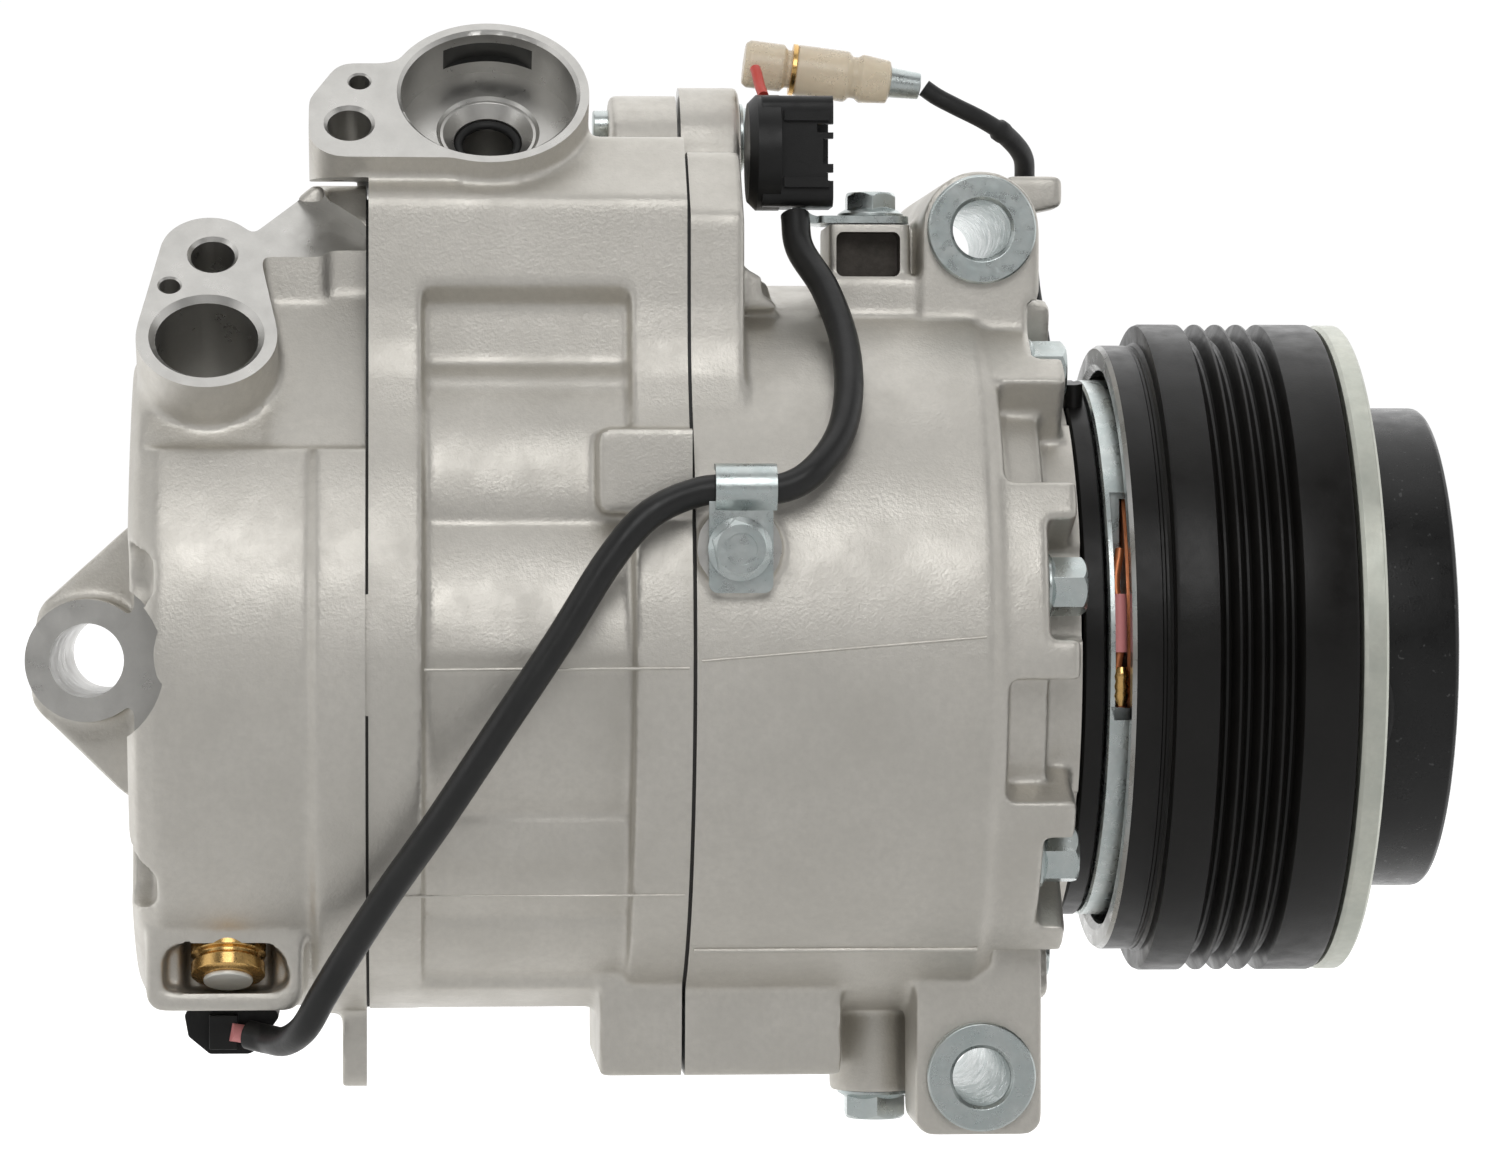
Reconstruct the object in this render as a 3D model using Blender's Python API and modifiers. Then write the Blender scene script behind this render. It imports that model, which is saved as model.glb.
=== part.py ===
"""Car air-conditioning compressor with an electromagnetic clutch on its nose, every piece its own solid.

Frame: the shaft runs along X with the clutch at +X, +Z is up, and -Y faces the side with the ports and the leads.
The origin is on the shaft axis, in the plane of the two front lugs' bolts. Dimensions here are in millimetres;
the helpers turn them into metres.
"""

import math

import bmesh
import bpy
from mathutils import Matrix, Vector

MM = 0.001
GAP = 0.3
FINE, ROUND, COARSE, SMALL = 32, 24, 14, 8

# Castings along the shaft
HOUSING_REAR, BLOCK_FRONT, BLOCK_REAR, HEAD_FRONT, HEAD_REAR = -48.5, -49.6, -100.6, -101.6, -139.2
BARREL_R, BLOCK_R, HEAD_R, HEAD_REAR_R = 61.4, 60.8, 61.6, 60.2
FLUTE_REAR, FLUTE_FRONT = -92.2, -58.6
CRANKCASE_R, SHOULDER_X, RING_R, RING_STEP_R, RING_ROOT_R = 48.4, 1.8, 60.2, 52.5, 46.4
RING_STEP_X, RING_TAB_X, HOUSING_FACE_X = 8.6, 12.8, 14.6

# Through bolts, cylinders and pistons
BOLT_CIRCLE_R, BOLT_PHASE, BOLT_COUNT, BOLT_HOLE_R, BOLT_R = 52.0, 11.9, 7, 3.3, 2.9
BOLT_SEAT_X, BOLT_END_X = 7.8, -134.0
CYLINDER_COUNT, CYLINDER_PHASE, CYLINDER_PITCH_R, CYLINDER_R = 7, 35.0, 33.6, 13.6

# Mounting lugs, which run along Y
LUG_FRONT_Y, LUG_REAR_Y = -28.0, 42.0
UPPER_LUG_Z, LOWER_LUG_Z, REAR_LUG_X, REAR_LUG_Z = 69.5, -70.4, -147.0, -1.5
LUG_HALF, LUG_BORE_R, BUSHING_R, BUSHING_FLANGE_R, BUSHING_BORE_R = 9.8, 6.9, 6.6, 9.0, 4.8
REAR_LUG_R, REAR_LUG_BORE_R = 10.1, 6.1

# Ports: both faces lean back from the side with the leads
PORT_NORMAL = Vector((0, -0.743, 0.669))
PORT_UP = Vector((0, 0.669, 0.743))
SUCTION_AT, SUCTION_R, SUCTION_BORE_R, SUCTION_HOLE_R = Vector((-81.3, -32.0, 91.5)), 16.5, 14.4, 8.0
DISCHARGE_AT, DISCHARGE_R, DISCHARGE_BORE_R = Vector((-126.8, -46.0, 51.0)), 11.4, 8.3

# Clutch
PULLEY_R, PULLEY_REAR_X, PULLEY_LAND_X, PULLEY_FRONT_X, PULLEY_STEP_R = 55.0, 22.2, 28.8, 58.7, 51.4
PULLEY_WALL_R, PULLEY_HUB_R, PULLEY_HUB_BORE_R, PULLEY_DISC_X = 47.2, 32.6, 26.2, 53.0
GROOVE_PITCH, GROOVE_COUNT, FIRST_GROOVE_X, GROOVE_DEPTH = 3.56, 4, 37.5, 2.8
ARMATURE_X, ARMATURE_FRONT_X, ARMATURE_BORE_R = 59.3, 63.4, 28.0
CUP_R, CUP_REAR_X, CUP_FRONT_X = 40.8, 64.6, 77.8
COIL_OUTER_R, COIL_INNER_R, COIL_REAR_X, COIL_FRONT_X = 45.5, 34.0, 19.0, 50.0
NOSE_R, NOSE_BORE_R, NOSE_END_X, NOSE_ROOT_R = 17.2, 14.9, 56.6, 19.4
SHAFT_R, SHAFT_NOSE_R, SHAFT_TAIL_R, SHAFT_END_X = 9.5, 8.2, 7.5, 57.0

# Control valve in the rear head
VALVE_X, VALVE_Z, VALVE_R = -123.7, -49.0, 5.6
FITTING_ALONG = Vector((0, 0.42, 0.9075))

# Looks: base colour, roughness, metallic
CAST = ((0.62, 0.60, 0.57), 0.55, 0.9)
STEEL = ((0.55, 0.55, 0.54), 0.35, 1.0)
ZINC = ((0.60, 0.63, 0.60), 0.35, 1.0)
BLACK_PAINT = ((0.02, 0.02, 0.022), 0.4, 0.0)
BLACK_PLASTIC = ((0.015, 0.015, 0.017), 0.5, 0.0)
RUBBER = ((0.02, 0.02, 0.02), 0.7, 0.0)
BRASS = ((0.75, 0.50, 0.20), 0.3, 1.0)
COPPER = ((0.70, 0.32, 0.15), 0.4, 1.0)
CREAM = ((0.85, 0.78, 0.62), 0.4, 0.0)

# Planes that an outline is drawn in: its first axis, its second axis, and the way it is thickened
ALONG_X = Matrix(((0, 0, 1), (1, 0, 0), (0, 1, 0)))
ALONG_Y = Matrix(((1, 0, 0), (0, 0, -1), (0, 1, 0)))
ALONG_Z = Matrix.Identity(3)
ALONG_PORT = Matrix(((1, 0, 0), PORT_UP, PORT_NORMAL)).transposed()


def clear_scene():
    for obj in list(bpy.data.objects):
        bpy.data.objects.remove(obj, do_unlink=True)


def new_collection(name):
    made = bpy.data.collections.new(name)
    bpy.context.scene.collection.children.link(made)
    return made


clear_scene()
COMPRESSOR = new_collection("compressor")
TOOLS = new_collection("cutters")
TOOLS.hide_render = True


# ---------------------------------------------------------------- shapes


def helper(name, data):
    """A shape that is joined to or cut from a piece, and isn't a piece itself."""
    obj = bpy.data.objects.new(name, data)
    TOOLS.objects.link(obj)
    obj.hide_render = True
    obj.display_type = "WIRE"
    return obj


def turned(profile, steps=ROUND, frame=ALONG_X, at=(0, 0, 0)):
    """A turned shape. The profile holds (along, radius) pairs and runs down its outer side, then back up its bore."""
    points = [Vector((radius, 0, along)) * MM for along, radius in profile]
    mesh = bpy.data.meshes.new("turned")
    closed = profile[0][1] > 0
    edges = [(i, i + 1) for i in range(len(points) - 1)]
    if closed:
        edges.append((len(points) - 1, 0))
    mesh.from_pydata(points, edges, [])
    obj = helper("turned", mesh)
    obj.matrix_world = Matrix.Translation(Vector(at) * MM) @ frame.to_4x4()
    screw = obj.modifiers.new("Turn", "SCREW")
    screw.steps = steps
    screw.render_steps = steps
    screw.use_merge_vertices = True
    screw.merge_threshold = 0.00001
    return obj


def arc(centre, radius, start, end, points=6):
    """Points of an arc between two angles in degrees."""
    angles = [math.radians(start + (end - start) * i / (points - 1)) for i in range(points)]
    return [(centre[0] + radius * math.cos(a), centre[1] + radius * math.sin(a)) for a in angles]


def rounded(corners, points=4):
    """An outline whose corners are (u, v) or (u, v, radius)."""
    outline = []
    for i, corner in enumerate(corners):
        here = Vector(corner[:2])
        if len(corner) < 3:
            outline.append(tuple(here))
            continue
        before = (Vector(corners[i - 1][:2]) - here).normalized()
        after = (Vector(corners[(i + 1) % len(corners)][:2]) - here).normalized()
        half = before.angle(after) / 2
        centre = here + (before + after).normalized() * corner[2] / math.sin(half)
        first = here + before * corner[2] / math.tan(half) - centre
        last = here + after * corner[2] / math.tan(half) - centre
        for k in range(points):
            outline.append(tuple(centre + first.slerp(last, k / (points - 1)) * corner[2]))
    return outline


def prism(outline, low, high, frame=ALONG_X, at=(0, 0, 0)):
    """A flat outline thickened from low to high along its frame's third axis."""
    curve = bpy.data.curves.new("outline", "CURVE")
    curve.dimensions = "2D"
    curve.fill_mode = "BOTH"
    curve.extrude = (high - low) / 2 * MM
    spline = curve.splines.new("POLY")
    spline.points.add(len(outline) - 1)
    for point, (u, v) in zip(spline.points, outline):
        point.co = (u * MM, v * MM, 0, 1)
    spline.use_cyclic_u = True
    middle = Vector(at) + frame @ Vector((0, 0, (low + high) / 2))
    return mesh_of(curve, Matrix.Translation(middle * MM) @ frame.to_4x4())


def mesh_of(curve, matrix):
    """The mesh of a curve, with its loose caps welded on and its faces pointing out."""
    guide = helper("guide", curve)
    bpy.context.view_layer.update()
    evaluated = guide.evaluated_get(bpy.context.evaluated_depsgraph_get())
    mesh = bpy.data.meshes.new_from_object(evaluated)
    bpy.data.objects.remove(guide, do_unlink=True)
    shape = bmesh.new()
    shape.from_mesh(mesh)
    bmesh.ops.remove_doubles(shape, verts=shape.verts, dist=0.000002)
    bmesh.ops.recalc_face_normals(shape, faces=shape.faces)
    shape.to_mesh(mesh)
    shape.free()
    obj = helper("prism", mesh)
    obj.matrix_world = matrix
    return obj


def box(low, high):
    shape = bmesh.new()
    size = Vector(high) - Vector(low)
    middle = (Vector(high) + Vector(low)) / 2
    bmesh.ops.create_cube(shape, size=1, matrix=Matrix.Translation(middle * MM) @ Matrix.Diagonal(size * MM).to_4x4())
    mesh = bpy.data.meshes.new("box")
    shape.to_mesh(mesh)
    shape.free()
    return helper("box", mesh)


def rod(start, end, radius, sides=SMALL, end_radius=None, turn=0.0):
    """A cylinder, a cone or, with six sides, a hexagon between two points."""
    start, end = Vector(start) * MM, Vector(end) * MM
    shape = bmesh.new()
    along = (end - start).to_track_quat("Z", "Y").to_matrix().to_4x4()
    place = Matrix.Translation((start + end) / 2) @ along @ Matrix.Rotation(math.radians(turn), 4, "Z")
    bmesh.ops.create_cone(
        shape, cap_ends=True, segments=sides, radius1=radius * MM,
        radius2=(radius if end_radius is None else end_radius) * MM, depth=(end - start).length, matrix=place,
    )
    mesh = bpy.data.meshes.new("rod")
    shape.to_mesh(mesh)
    shape.free()
    return helper("rod", mesh)


def ball(centre, radius, rings=4, sides=6):
    shape = bmesh.new()
    place = Matrix.Translation(Vector(centre) * MM)
    bmesh.ops.create_uvsphere(shape, u_segments=sides, v_segments=rings, radius=radius * MM, matrix=place)
    mesh = bpy.data.meshes.new("ball")
    shape.to_mesh(mesh)
    shape.free()
    return helper("ball", mesh)


def smooth_route(route, count):
    """Points read from a smooth curve through the route's own points."""
    points = [Vector(p) for p in route]
    points = [2 * points[0] - points[1], *points, 2 * points[-1] - points[-2]]
    spans = len(points) - 3
    found = []
    for i in range(count):
        t = i * spans / (count - 1)
        k = min(int(t), spans - 1)
        t -= k
        a, b, c, d = points[k:k + 4]
        found.append(
            0.5 * (2 * b + (c - a) * t + (2 * a - 5 * b + 4 * c - d) * t ** 2 + (3 * b - a - 3 * c + d) * t ** 3)
        )
    return found


def tube(points, radius, bevel=2):
    """A round wire, lead or coil along points."""
    curve = bpy.data.curves.new("tube", "CURVE")
    curve.dimensions = "3D"
    curve.bevel_depth = radius * MM
    curve.bevel_resolution = bevel
    curve.use_fill_caps = True
    spline = curve.splines.new("POLY")
    spline.points.add(len(points) - 1)
    for point, place in zip(spline.points, points):
        point.co = (*(Vector(place) * MM), 1)
    return mesh_of(curve, Matrix.Identity(4))


def around(radius, degrees, x=0.0):
    """A point at a radius and an angle about the shaft, measured from -Y towards +Z."""
    a = math.radians(degrees)
    return Vector((x, -radius * math.cos(a), radius * math.sin(a)))


def sector(low, high, inner, outer, middle, half):
    """A block between two radii that spans 2 x half degrees about the shaft."""
    def outline():
        for radius, turns in ((outer, (-1, 0, 1)), (inner, (1, 0, -1))):
            for turn in turns:
                place = around(radius, middle + turn * half)
                yield place.y, place.z
    return prism(list(outline()), low, high)


def combine(obj, operation, shapes):
    """One exact Boolean of an object with all of the shapes."""
    if not shapes:
        return
    group = bpy.data.collections.new(f"{obj.name}_{operation.lower()}")
    TOOLS.children.link(group)
    for shape in shapes:
        TOOLS.objects.unlink(shape)
        group.objects.link(shape)
    modifier = obj.modifiers.new(operation.title(), "BOOLEAN")
    modifier.operation = operation
    modifier.solver = "EXACT"
    modifier.operand_type = "COLLECTION"
    modifier.collection = group


def piece(name, base, look, add=(), cut=(), smooth=True):
    """Turns a shape into one named sub-part, with its own material."""
    base.name = name
    base.data.name = name
    base.hide_render = False
    base.display_type = "SOLID"
    combine(base, "UNION", list(add))
    combine(base, "DIFFERENCE", list(cut))
    TOOLS.objects.unlink(base)
    COMPRESSOR.objects.link(base)
    colour, roughness, metallic = look
    material = bpy.data.materials.new(name)
    material.use_nodes = True
    shader = material.node_tree.nodes["Principled BSDF"]
    shader.inputs["Base Color"].default_value = (*colour, 1)
    shader.inputs["Roughness"].default_value = roughness
    shader.inputs["Metallic"].default_value = metallic
    base.data.materials.append(material)
    if smooth:
        base.data.shade_smooth()
        base.data.set_sharp_from_angle(angle=math.radians(35))
    return base


# ---------------------------------------------------------------- castings


def bolt_angles():
    return [BOLT_PHASE + i * 360 / BOLT_COUNT for i in range(BOLT_COUNT)]


def bolt_holes(low, high):
    return [
        rod(around(BOLT_CIRCLE_R, a, low), around(BOLT_CIRCLE_R, a, high), BOLT_HOLE_R) for a in bolt_angles()
    ]


def crown(top, low, high):
    """The flat-sided mass on top of the barrel, as tall as top."""
    outline = rounded([
        (-30, 34), (-49.6, 35.2), (-47.0, 39.8), (-44.5, 44.9), (-43.0, 50.3), (-42.5, 56), (-42.5, top - 11, 3),
        (-31, top, 4), (15, top, 5), (30, top - 15, 5), (40, 44),
    ])
    return prism(outline, low, high)


def recessed_crown(top, low, high):
    """The crown between the block's end flanges, where the foot of its front wall is set back."""
    outline = rounded([
        (-38.5, 42), (-38.5, 57.5), (-42.5, 59), (-42.5, top - 11, 3), (-31, top, 4), (15, top, 5),
        (30, top - 15, 5), (40, 44),
    ])
    return prism(outline, low, high)


def bulge(centre, radius, start, end, points=5):
    """Part of a rounded band that runs along the block's side: angles are from -Y towards +Z."""
    found = []
    for i in range(points):
        a = math.radians(start + (end - start) * i / (points - 1))
        found.append((centre[0] - radius * math.cos(a), centre[1] + radius * math.sin(a)))
    return found


def flutes(side):
    """What is taken off one side of the block between its flanges, which leaves five lengthwise bands."""
    outline = [
        (-42.0, 43.3), *bulge((-25.3, 24.3), 25, 48, -5), *bulge((-19.7, -1.9), 38, 37, 3.3),
        *bulge((-17.9, 1.8), 40, -5, -44.6), *bulge((-20.9, -21.6), 26.3, -12, -55),
        *bulge((-13.8, -29.8), 26.4, -35, -65, 4), (-24.4, -56.7), (-12, -60.0), (-1, -60.6), (-1, -75), (-75, -75),
        (-75, 43.3),
    ]
    return prism([(side * y, z) for y, z in outline][::side], FLUTE_REAR, FLUTE_FRONT)


def lobe(top, low, high):
    """The narrow bolt lobe that stands on the crown at the front seam."""
    return prism([(-15, 70), *arc((0, top - 12), 12, 180, 0, 9), (15, 70)], low, high)


def foot(low, high, bottom=-70.6):
    return prism(rounded([(-26, -50), (-24, bottom, 2), (24, bottom, 2), (26, -50)]), low, high)


def upper_lug():
    """A bar along Y that stands out of the barrel, round on its outer side."""
    root = UPPER_LUG_Z - 22.3
    outline = [(-LUG_HALF, root), *arc((0, UPPER_LUG_Z), LUG_HALF, 180, 0, 9), (LUG_HALF, root)]
    return prism(outline, -LUG_REAR_Y, -LUG_FRONT_Y, ALONG_Y)


def lower_lug(left, low, high):
    """A length of a bar like the upper one, but square on its outer side."""
    return prism(rounded([(left, -48), (left, -80.2, 3), (10.2, -80.2, 3), (10.2, -48)]), low, high, ALONG_Y)


def front_housing():
    outer = [
        (NOSE_END_X, NOSE_R - 0.6), (NOSE_END_X - 0.6, NOSE_R), (54.4, NOSE_R), (54.4, 16.2), (53.0, 16.2),
        (53.0, NOSE_R), (32.7, NOSE_R), (32.7, NOSE_ROOT_R), (20.4, NOSE_ROOT_R), (20.4, 18.4), (19.0, 18.4),
        (19.0, NOSE_ROOT_R), (HOUSING_FACE_X, NOSE_ROOT_R), (HOUSING_FACE_X, RING_ROOT_R),
        (RING_STEP_X, RING_ROOT_R), (RING_STEP_X, RING_STEP_R), (SHOULDER_X, RING_STEP_R), (SHOULDER_X, RING_R - 0.6),
        (-0.4, RING_R), (-1.6, BARREL_R), (HOUSING_REAR, BARREL_R),
    ]
    inner = [
        (HOUSING_REAR, CRANKCASE_R), (-4, CRANKCASE_R), (-4, 15.2), (13.2, 15.2), (13.2, 11.5), (17.2, 11.5),
        (17.2, NOSE_BORE_R), (NOSE_END_X, NOSE_BORE_R),
    ]
    add = [
        crown(82, HOUSING_REAR, -40), lobe(95, HOUSING_REAR, -38.6), foot(HOUSING_REAR, -22.8),
        upper_lug(), lower_lug(-10.8, 8, -LUG_FRONT_Y), lower_lug(-8.4, -LUG_REAR_Y, 8.5),
        prism(rounded([(-24, 45), (-24, 70.4, 1), (-11, 70.4, 1), (-8, 45)]), 8, 26, ALONG_Y),
        rod((-15.2, 0, -55), (-15.2, 0, -75), 7.7, COARSE),
        prism(rounded([(6, 66), (6, 79.6, 1), (15.6, 79.6, 1), (15.6, 74.4, 1), (9.6, 73.2), (9.4, 66)]), 3, 11, ALONG_Y),
        rod((-42.1, -50, 17), (-42.1, -61.8, 17), 6.6, COARSE),
    ]
    for angle in bolt_angles():
        add.append(sector(-3, RING_TAB_X, RING_ROOT_R - 4, RING_R, angle, 15.9))
    cut = bolt_holes(HOUSING_REAR - 1, BOLT_SEAT_X + 1)
    cut += [sector(BOLT_SEAT_X, 20, RING_ROOT_R - 0.9, 64, angle, 9.9) for angle in bolt_angles()]
    cut += [
        rod((0, LUG_FRONT_Y - 5, z), (0, LUG_REAR_Y + 5, z), LUG_BORE_R, COARSE)
        for z in (UPPER_LUG_Z, LOWER_LUG_Z)
    ]
    cut += [
        rod((-17.4, -17, 71), (-17.4, -17, 58), 2.9),
        rod((-15.2, 0, -76), (-15.2, 0, -62), 4.0, COARSE),
        rod((-42.1, -63, 17), (-42.1, -52, 17), 2.6),
        turned([(-4, 0), (-4, CRANKCASE_R), (HOUSING_REAR - 1, CRANKCASE_R), (HOUSING_REAR - 1, 0)], FINE),
    ]
    piece("front_housing", turned(outer + inner, FINE), CAST, add, cut)


def cylinder_block():
    base = turned(
        [(BLOCK_FRONT, BLOCK_R), (BLOCK_REAR, BLOCK_R), (BLOCK_REAR, 10.2), (-73, 10.2), (-73, 12.4),
         (BLOCK_FRONT, 12.4)], FINE,
    )
    combine(base, "DIFFERENCE", [flutes(1), flutes(-1)])
    back = -PORT_NORMAL
    add = [
        crown(84.5, BLOCK_REAR, FLUTE_REAR), recessed_crown(84.5, FLUTE_REAR - 1, FLUTE_FRONT + 1),
        crown(84.5, FLUTE_FRONT, BLOCK_FRONT), lobe(93.6, -60.6, BLOCK_FRONT), foot(-62.9, BLOCK_FRONT),
        rod(SUCTION_AT, SUCTION_AT + back * 40, SUCTION_R, ROUND),
        prism(suction_ear(), -13, 0, ALONG_PORT, SUCTION_AT),
        prism(rounded([(-64.4, 22.5, 2), (-64.4, 36, 2), (BLOCK_FRONT - 0.2, 36), (BLOCK_FRONT - 0.2, 22.5)]),
              40, 57.8, ALONG_Y),
    ]
    cut = bolt_holes(BLOCK_REAR - 1, BLOCK_FRONT + 1)
    cut.append(prism([(-60, -70), (60, -70), (60, 77), (-60, 77)], -120, BLOCK_REAR))
    for i in range(CYLINDER_COUNT):
        angle = CYLINDER_PHASE + i * 360 / CYLINDER_COUNT
        cut.append(rod(
            around(CYLINDER_PITCH_R, angle, BLOCK_REAR - 1), around(CYLINDER_PITCH_R, angle, BLOCK_FRONT + 1),
            CYLINDER_R, 20,
        ))
    cut += [
        rod(SUCTION_AT - back, SUCTION_AT + back * 9, SUCTION_BORE_R, ROUND),
        rod(SUCTION_AT, SUCTION_AT + back * 30, SUCTION_HOLE_R, COARSE),
        rod(port_point(SUCTION_AT, -22.7, -7.5, 1), port_point(SUCTION_AT, -22.7, -7.5, -12), 3.6),
        rod(port_point(SUCTION_AT, -21.1, 2.4, 1), port_point(SUCTION_AT, -21.1, 2.4, -6), 1.7, 8),
    ]
    piece("cylinder_block", base, CAST, add, cut)


def port_point(centre, along, up, out=0.0):
    """A point on a port's face, or out from it."""
    return centre + Vector((along, 0, 0)) + PORT_UP * up + PORT_NORMAL * out


def suction_ear():
    """The outline of the ear beside the suction port, which takes the pipe's bolt."""
    return rounded([
        (0, -15.4), (-29.3, -15.3, 6), (-29.3, -2, 5), (-24.5, 6.7, 4), (-17.5, 6.7, 3), (-12, 8), (0, 8),
    ])


def pear(big, small, distance, points=9):
    """Two round ends of unlike radius, one above the other, with straight flanks between."""
    lean = math.degrees(math.asin((big - small) / distance))
    return arc((0, 0), big, 180 - lean, 360 + lean, 2 * points) + arc((0, distance), small, lean, 180 - lean, points)


def rear_head():
    base = turned([
        (HEAD_FRONT, HEAD_R), (-109.4, HEAD_R), (-110.2, HEAD_REAR_R), (-134.4, HEAD_REAR_R), (-137.8, 58.6),
        (HEAD_REAR, 55.5), (HEAD_REAR, 0.0),
    ], FINE)
    above_ledge = [(-75, 33), (-48.6, 33), (-33, 58), (-33, 75), (-75, 75)]
    combine(base, "DIFFERENCE", [prism(above_ledge, HEAD_REAR - 1, HEAD_FRONT + 1)])
    back = -PORT_NORMAL
    lug_web = [
        (-128, 30), (-141, 20.2), (-155.4, 7.2), (-157, -1.5), (-156.6, -9), (-142.7, -22.6), (-128, -34),
    ]
    add = [
        prism(lug_web, -26, 18, ALONG_Y),
        rod((REAR_LUG_X, LUG_FRONT_Y, REAR_LUG_Z), (REAR_LUG_X, LUG_REAR_Y, REAR_LUG_Z), REAR_LUG_R, COARSE),
        prism([(-49, 33), (-33, 58.4), (-33, 70), (-27, 76.5), (13, 76.5), (27, 64), (38, 44)], -110.6, HEAD_FRONT),
        prism([(-49, 33), (-33, 58.4), (-20, 58.4), (-20, 33)], -117, -108),
        prism([(-120, 40), (-120, 68), (-110, 76), (-108, 76), (-108, 40)], 4, 34, ALONG_Y),
        prism(pear(DISCHARGE_R, 8.0, 19.0), -40, 0, ALONG_PORT, DISCHARGE_AT),
        prism(rounded([(-14, -50), (-12, -73.2, 2), (12, -73.2, 2), (14, -50)]), -105.4, HEAD_FRONT),
        prism(rounded([(-136.9, -35), (-136.9, -58, 3), (-111.6, -58, 3), (-110.8, -40)]), 0, 40, ALONG_Y),
    ]
    cut = bolt_holes(-137, HEAD_FRONT + 1)
    cut += [
        turned([(HEAD_FRONT + 1, 48.2), (-104.8, 48.2), (-104.8, 0)], ROUND),
        turned([(-103, 46), (-126, 46), (-126, 25), (-103, 25)], ROUND),
        turned([(-103, 20.5), (-124, 20.5), (-124, 0)], ROUND),
        rod((REAR_LUG_X, LUG_FRONT_Y - 5, REAR_LUG_Z), (REAR_LUG_X, LUG_REAR_Y + 5, REAR_LUG_Z), REAR_LUG_BORE_R,
            COARSE),
        rod(DISCHARGE_AT - back, DISCHARGE_AT + back * 24, DISCHARGE_BORE_R, COARSE),
        rod(port_point(DISCHARGE_AT, 0.6, 18.4, 1), port_point(DISCHARGE_AT, 0.6, 18.4, -14), 3.6),
        rod(port_point(DISCHARGE_AT, -6.2, 11.4, 1), port_point(DISCHARGE_AT, -6.2, 11.4, -6), 1.7, 8),
        prism(rounded([(-134, -54.6, 1), (-134, -47.2, 3), (-115, -47.2, 4), (-113.2, -54.6, 2)]), 34, 55, ALONG_Y),
        box((-130, -39.6, -55.6), (-117.5, -26.5, -42.6)),
        rod((VALVE_X, -28, VALVE_Z), (VALVE_X, -3.2, VALVE_Z), VALVE_R + GAP, COARSE),
        rod((VALVE_X, -12, -62), (VALVE_X, -12, VALVE_Z), 4.4),
    ]
    for angle in bolt_angles():
        cut.append(rod(around(BOLT_CIRCLE_R + 2, angle, -145), around(BOLT_CIRCLE_R + 2, angle, -134.8), 6.4))
    piece("rear_head", base, CAST, add, cut)


# ---------------------------------------------------------------- what the castings hold


def gaskets_and_valves():
    """Seals at both seams, and the valve plate between its two reeds."""
    for name, low, high, top in (("front_gasket", -49.3, -48.8, 82), ("rear_gasket", -101.3, -100.9, 75)):
        ring = turned([(high, 60.4), (low, 60.4), (low, 48.9), (high, 48.9)], ROUND)
        inside = turned([(high + 1, 0), (high + 1, 48.9), (low - 1, 48.9), (low - 1, 0)], ROUND)
        piece(name, ring, RUBBER, [crown(top - 1, low, high)], bolt_holes(low - 1, high + 1) + [inside])
    for name, low, high, ports in (
        ("suction_reed", -101.3, -100.95, ((27.5, 3.2),)),
        ("valve_plate", -103.6, -101.6, ((28.5, 2.4), (40.5, 2.6))),
        ("discharge_reed", -104.3, -103.9, ((38.5, 3.4),)),
    ):
        cut = []
        for pitch, radius in ports:
            for i in range(CYLINDER_COUNT):
                angle = CYLINDER_PHASE + i * 360 / CYLINDER_COUNT
                cut.append(rod(around(pitch, angle, low - 1), around(pitch, angle, high + 1), radius, 8))
        piece(name, turned([(high, 0), (high, 47.4), (low, 47.4), (low, 0)], ROUND), STEEL, (), cut)


def pistons():
    """Seven single-headed pistons, each with a bridge over the swash plate's rim."""
    for i in range(CYLINDER_COUNT):
        angle = CYLINDER_PHASE + i * 360 / CYLINDER_COUNT
        centre = around(CYLINDER_PITCH_R, angle)
        skirt = turned([(-30.8, 0), (-30.8, 10.5), (-34, 13.1), (-98.9, 13.1), (-98.9, 0)], 20, ALONG_X, centre)
        bridge = sector(-42, -15.2, 41.2, 46.6, angle, 8.5)
        claw = sector(-21.5, -15.2, 27, 44, angle, 9)
        piece(f"piston_{i + 1}", skirt, STEEL, [bridge, claw])


def rotating_group():
    """The shaft with the lug plate, the swash plate and the spring that holds it upright."""
    shaft = turned([
        (SHAFT_END_X, 3.0), (SHAFT_END_X, 7.6), (SHAFT_END_X - 0.6, SHAFT_NOSE_R), (30, SHAFT_NOSE_R),
        (30, SHAFT_R), (-56, SHAFT_R), (-56, SHAFT_TAIL_R), (-94, SHAFT_TAIL_R), (-94, 0), (43, 0), (43, 3.0),
    ], COARSE)
    piece("drive_shaft", shaft, STEEL)
    bore = SHAFT_R + GAP
    plate = turned([
        (-8, 39.2), (-13, 40), (-14, 39.2), (-14, 17), (-15, 16), (-15, bore), (-8, bore),
    ], ROUND)
    arms = [box((-21.4, side - 3, 14.5), (-13, side + 3, 24)) for side in (-8, 8)]
    piece("lug_plate", plate, STEEL, arms, [box((-9, -5, -42), (-7, 5, -33))])
    swash = turned([(-22, 40.5), (-30, 40.5), (-30, 16), (-37, 15), (-37, bore), (-22, bore)], ROUND)
    piece("swash_plate", swash, STEEL, (), [rod((-29, 0, 30), (-21, 0, 30), 2.5)])
    turns, per_turn = 2.5, 10
    helix = []
    for k in range(int(turns * per_turn) + 1):
        place = around(11.8, k * 360 / per_turn, -16.2 - 4.6 * k / (turns * per_turn))
        helix.append(place)
    piece("destroke_spring", tube(helix, 0.6, 1), STEEL)


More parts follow.
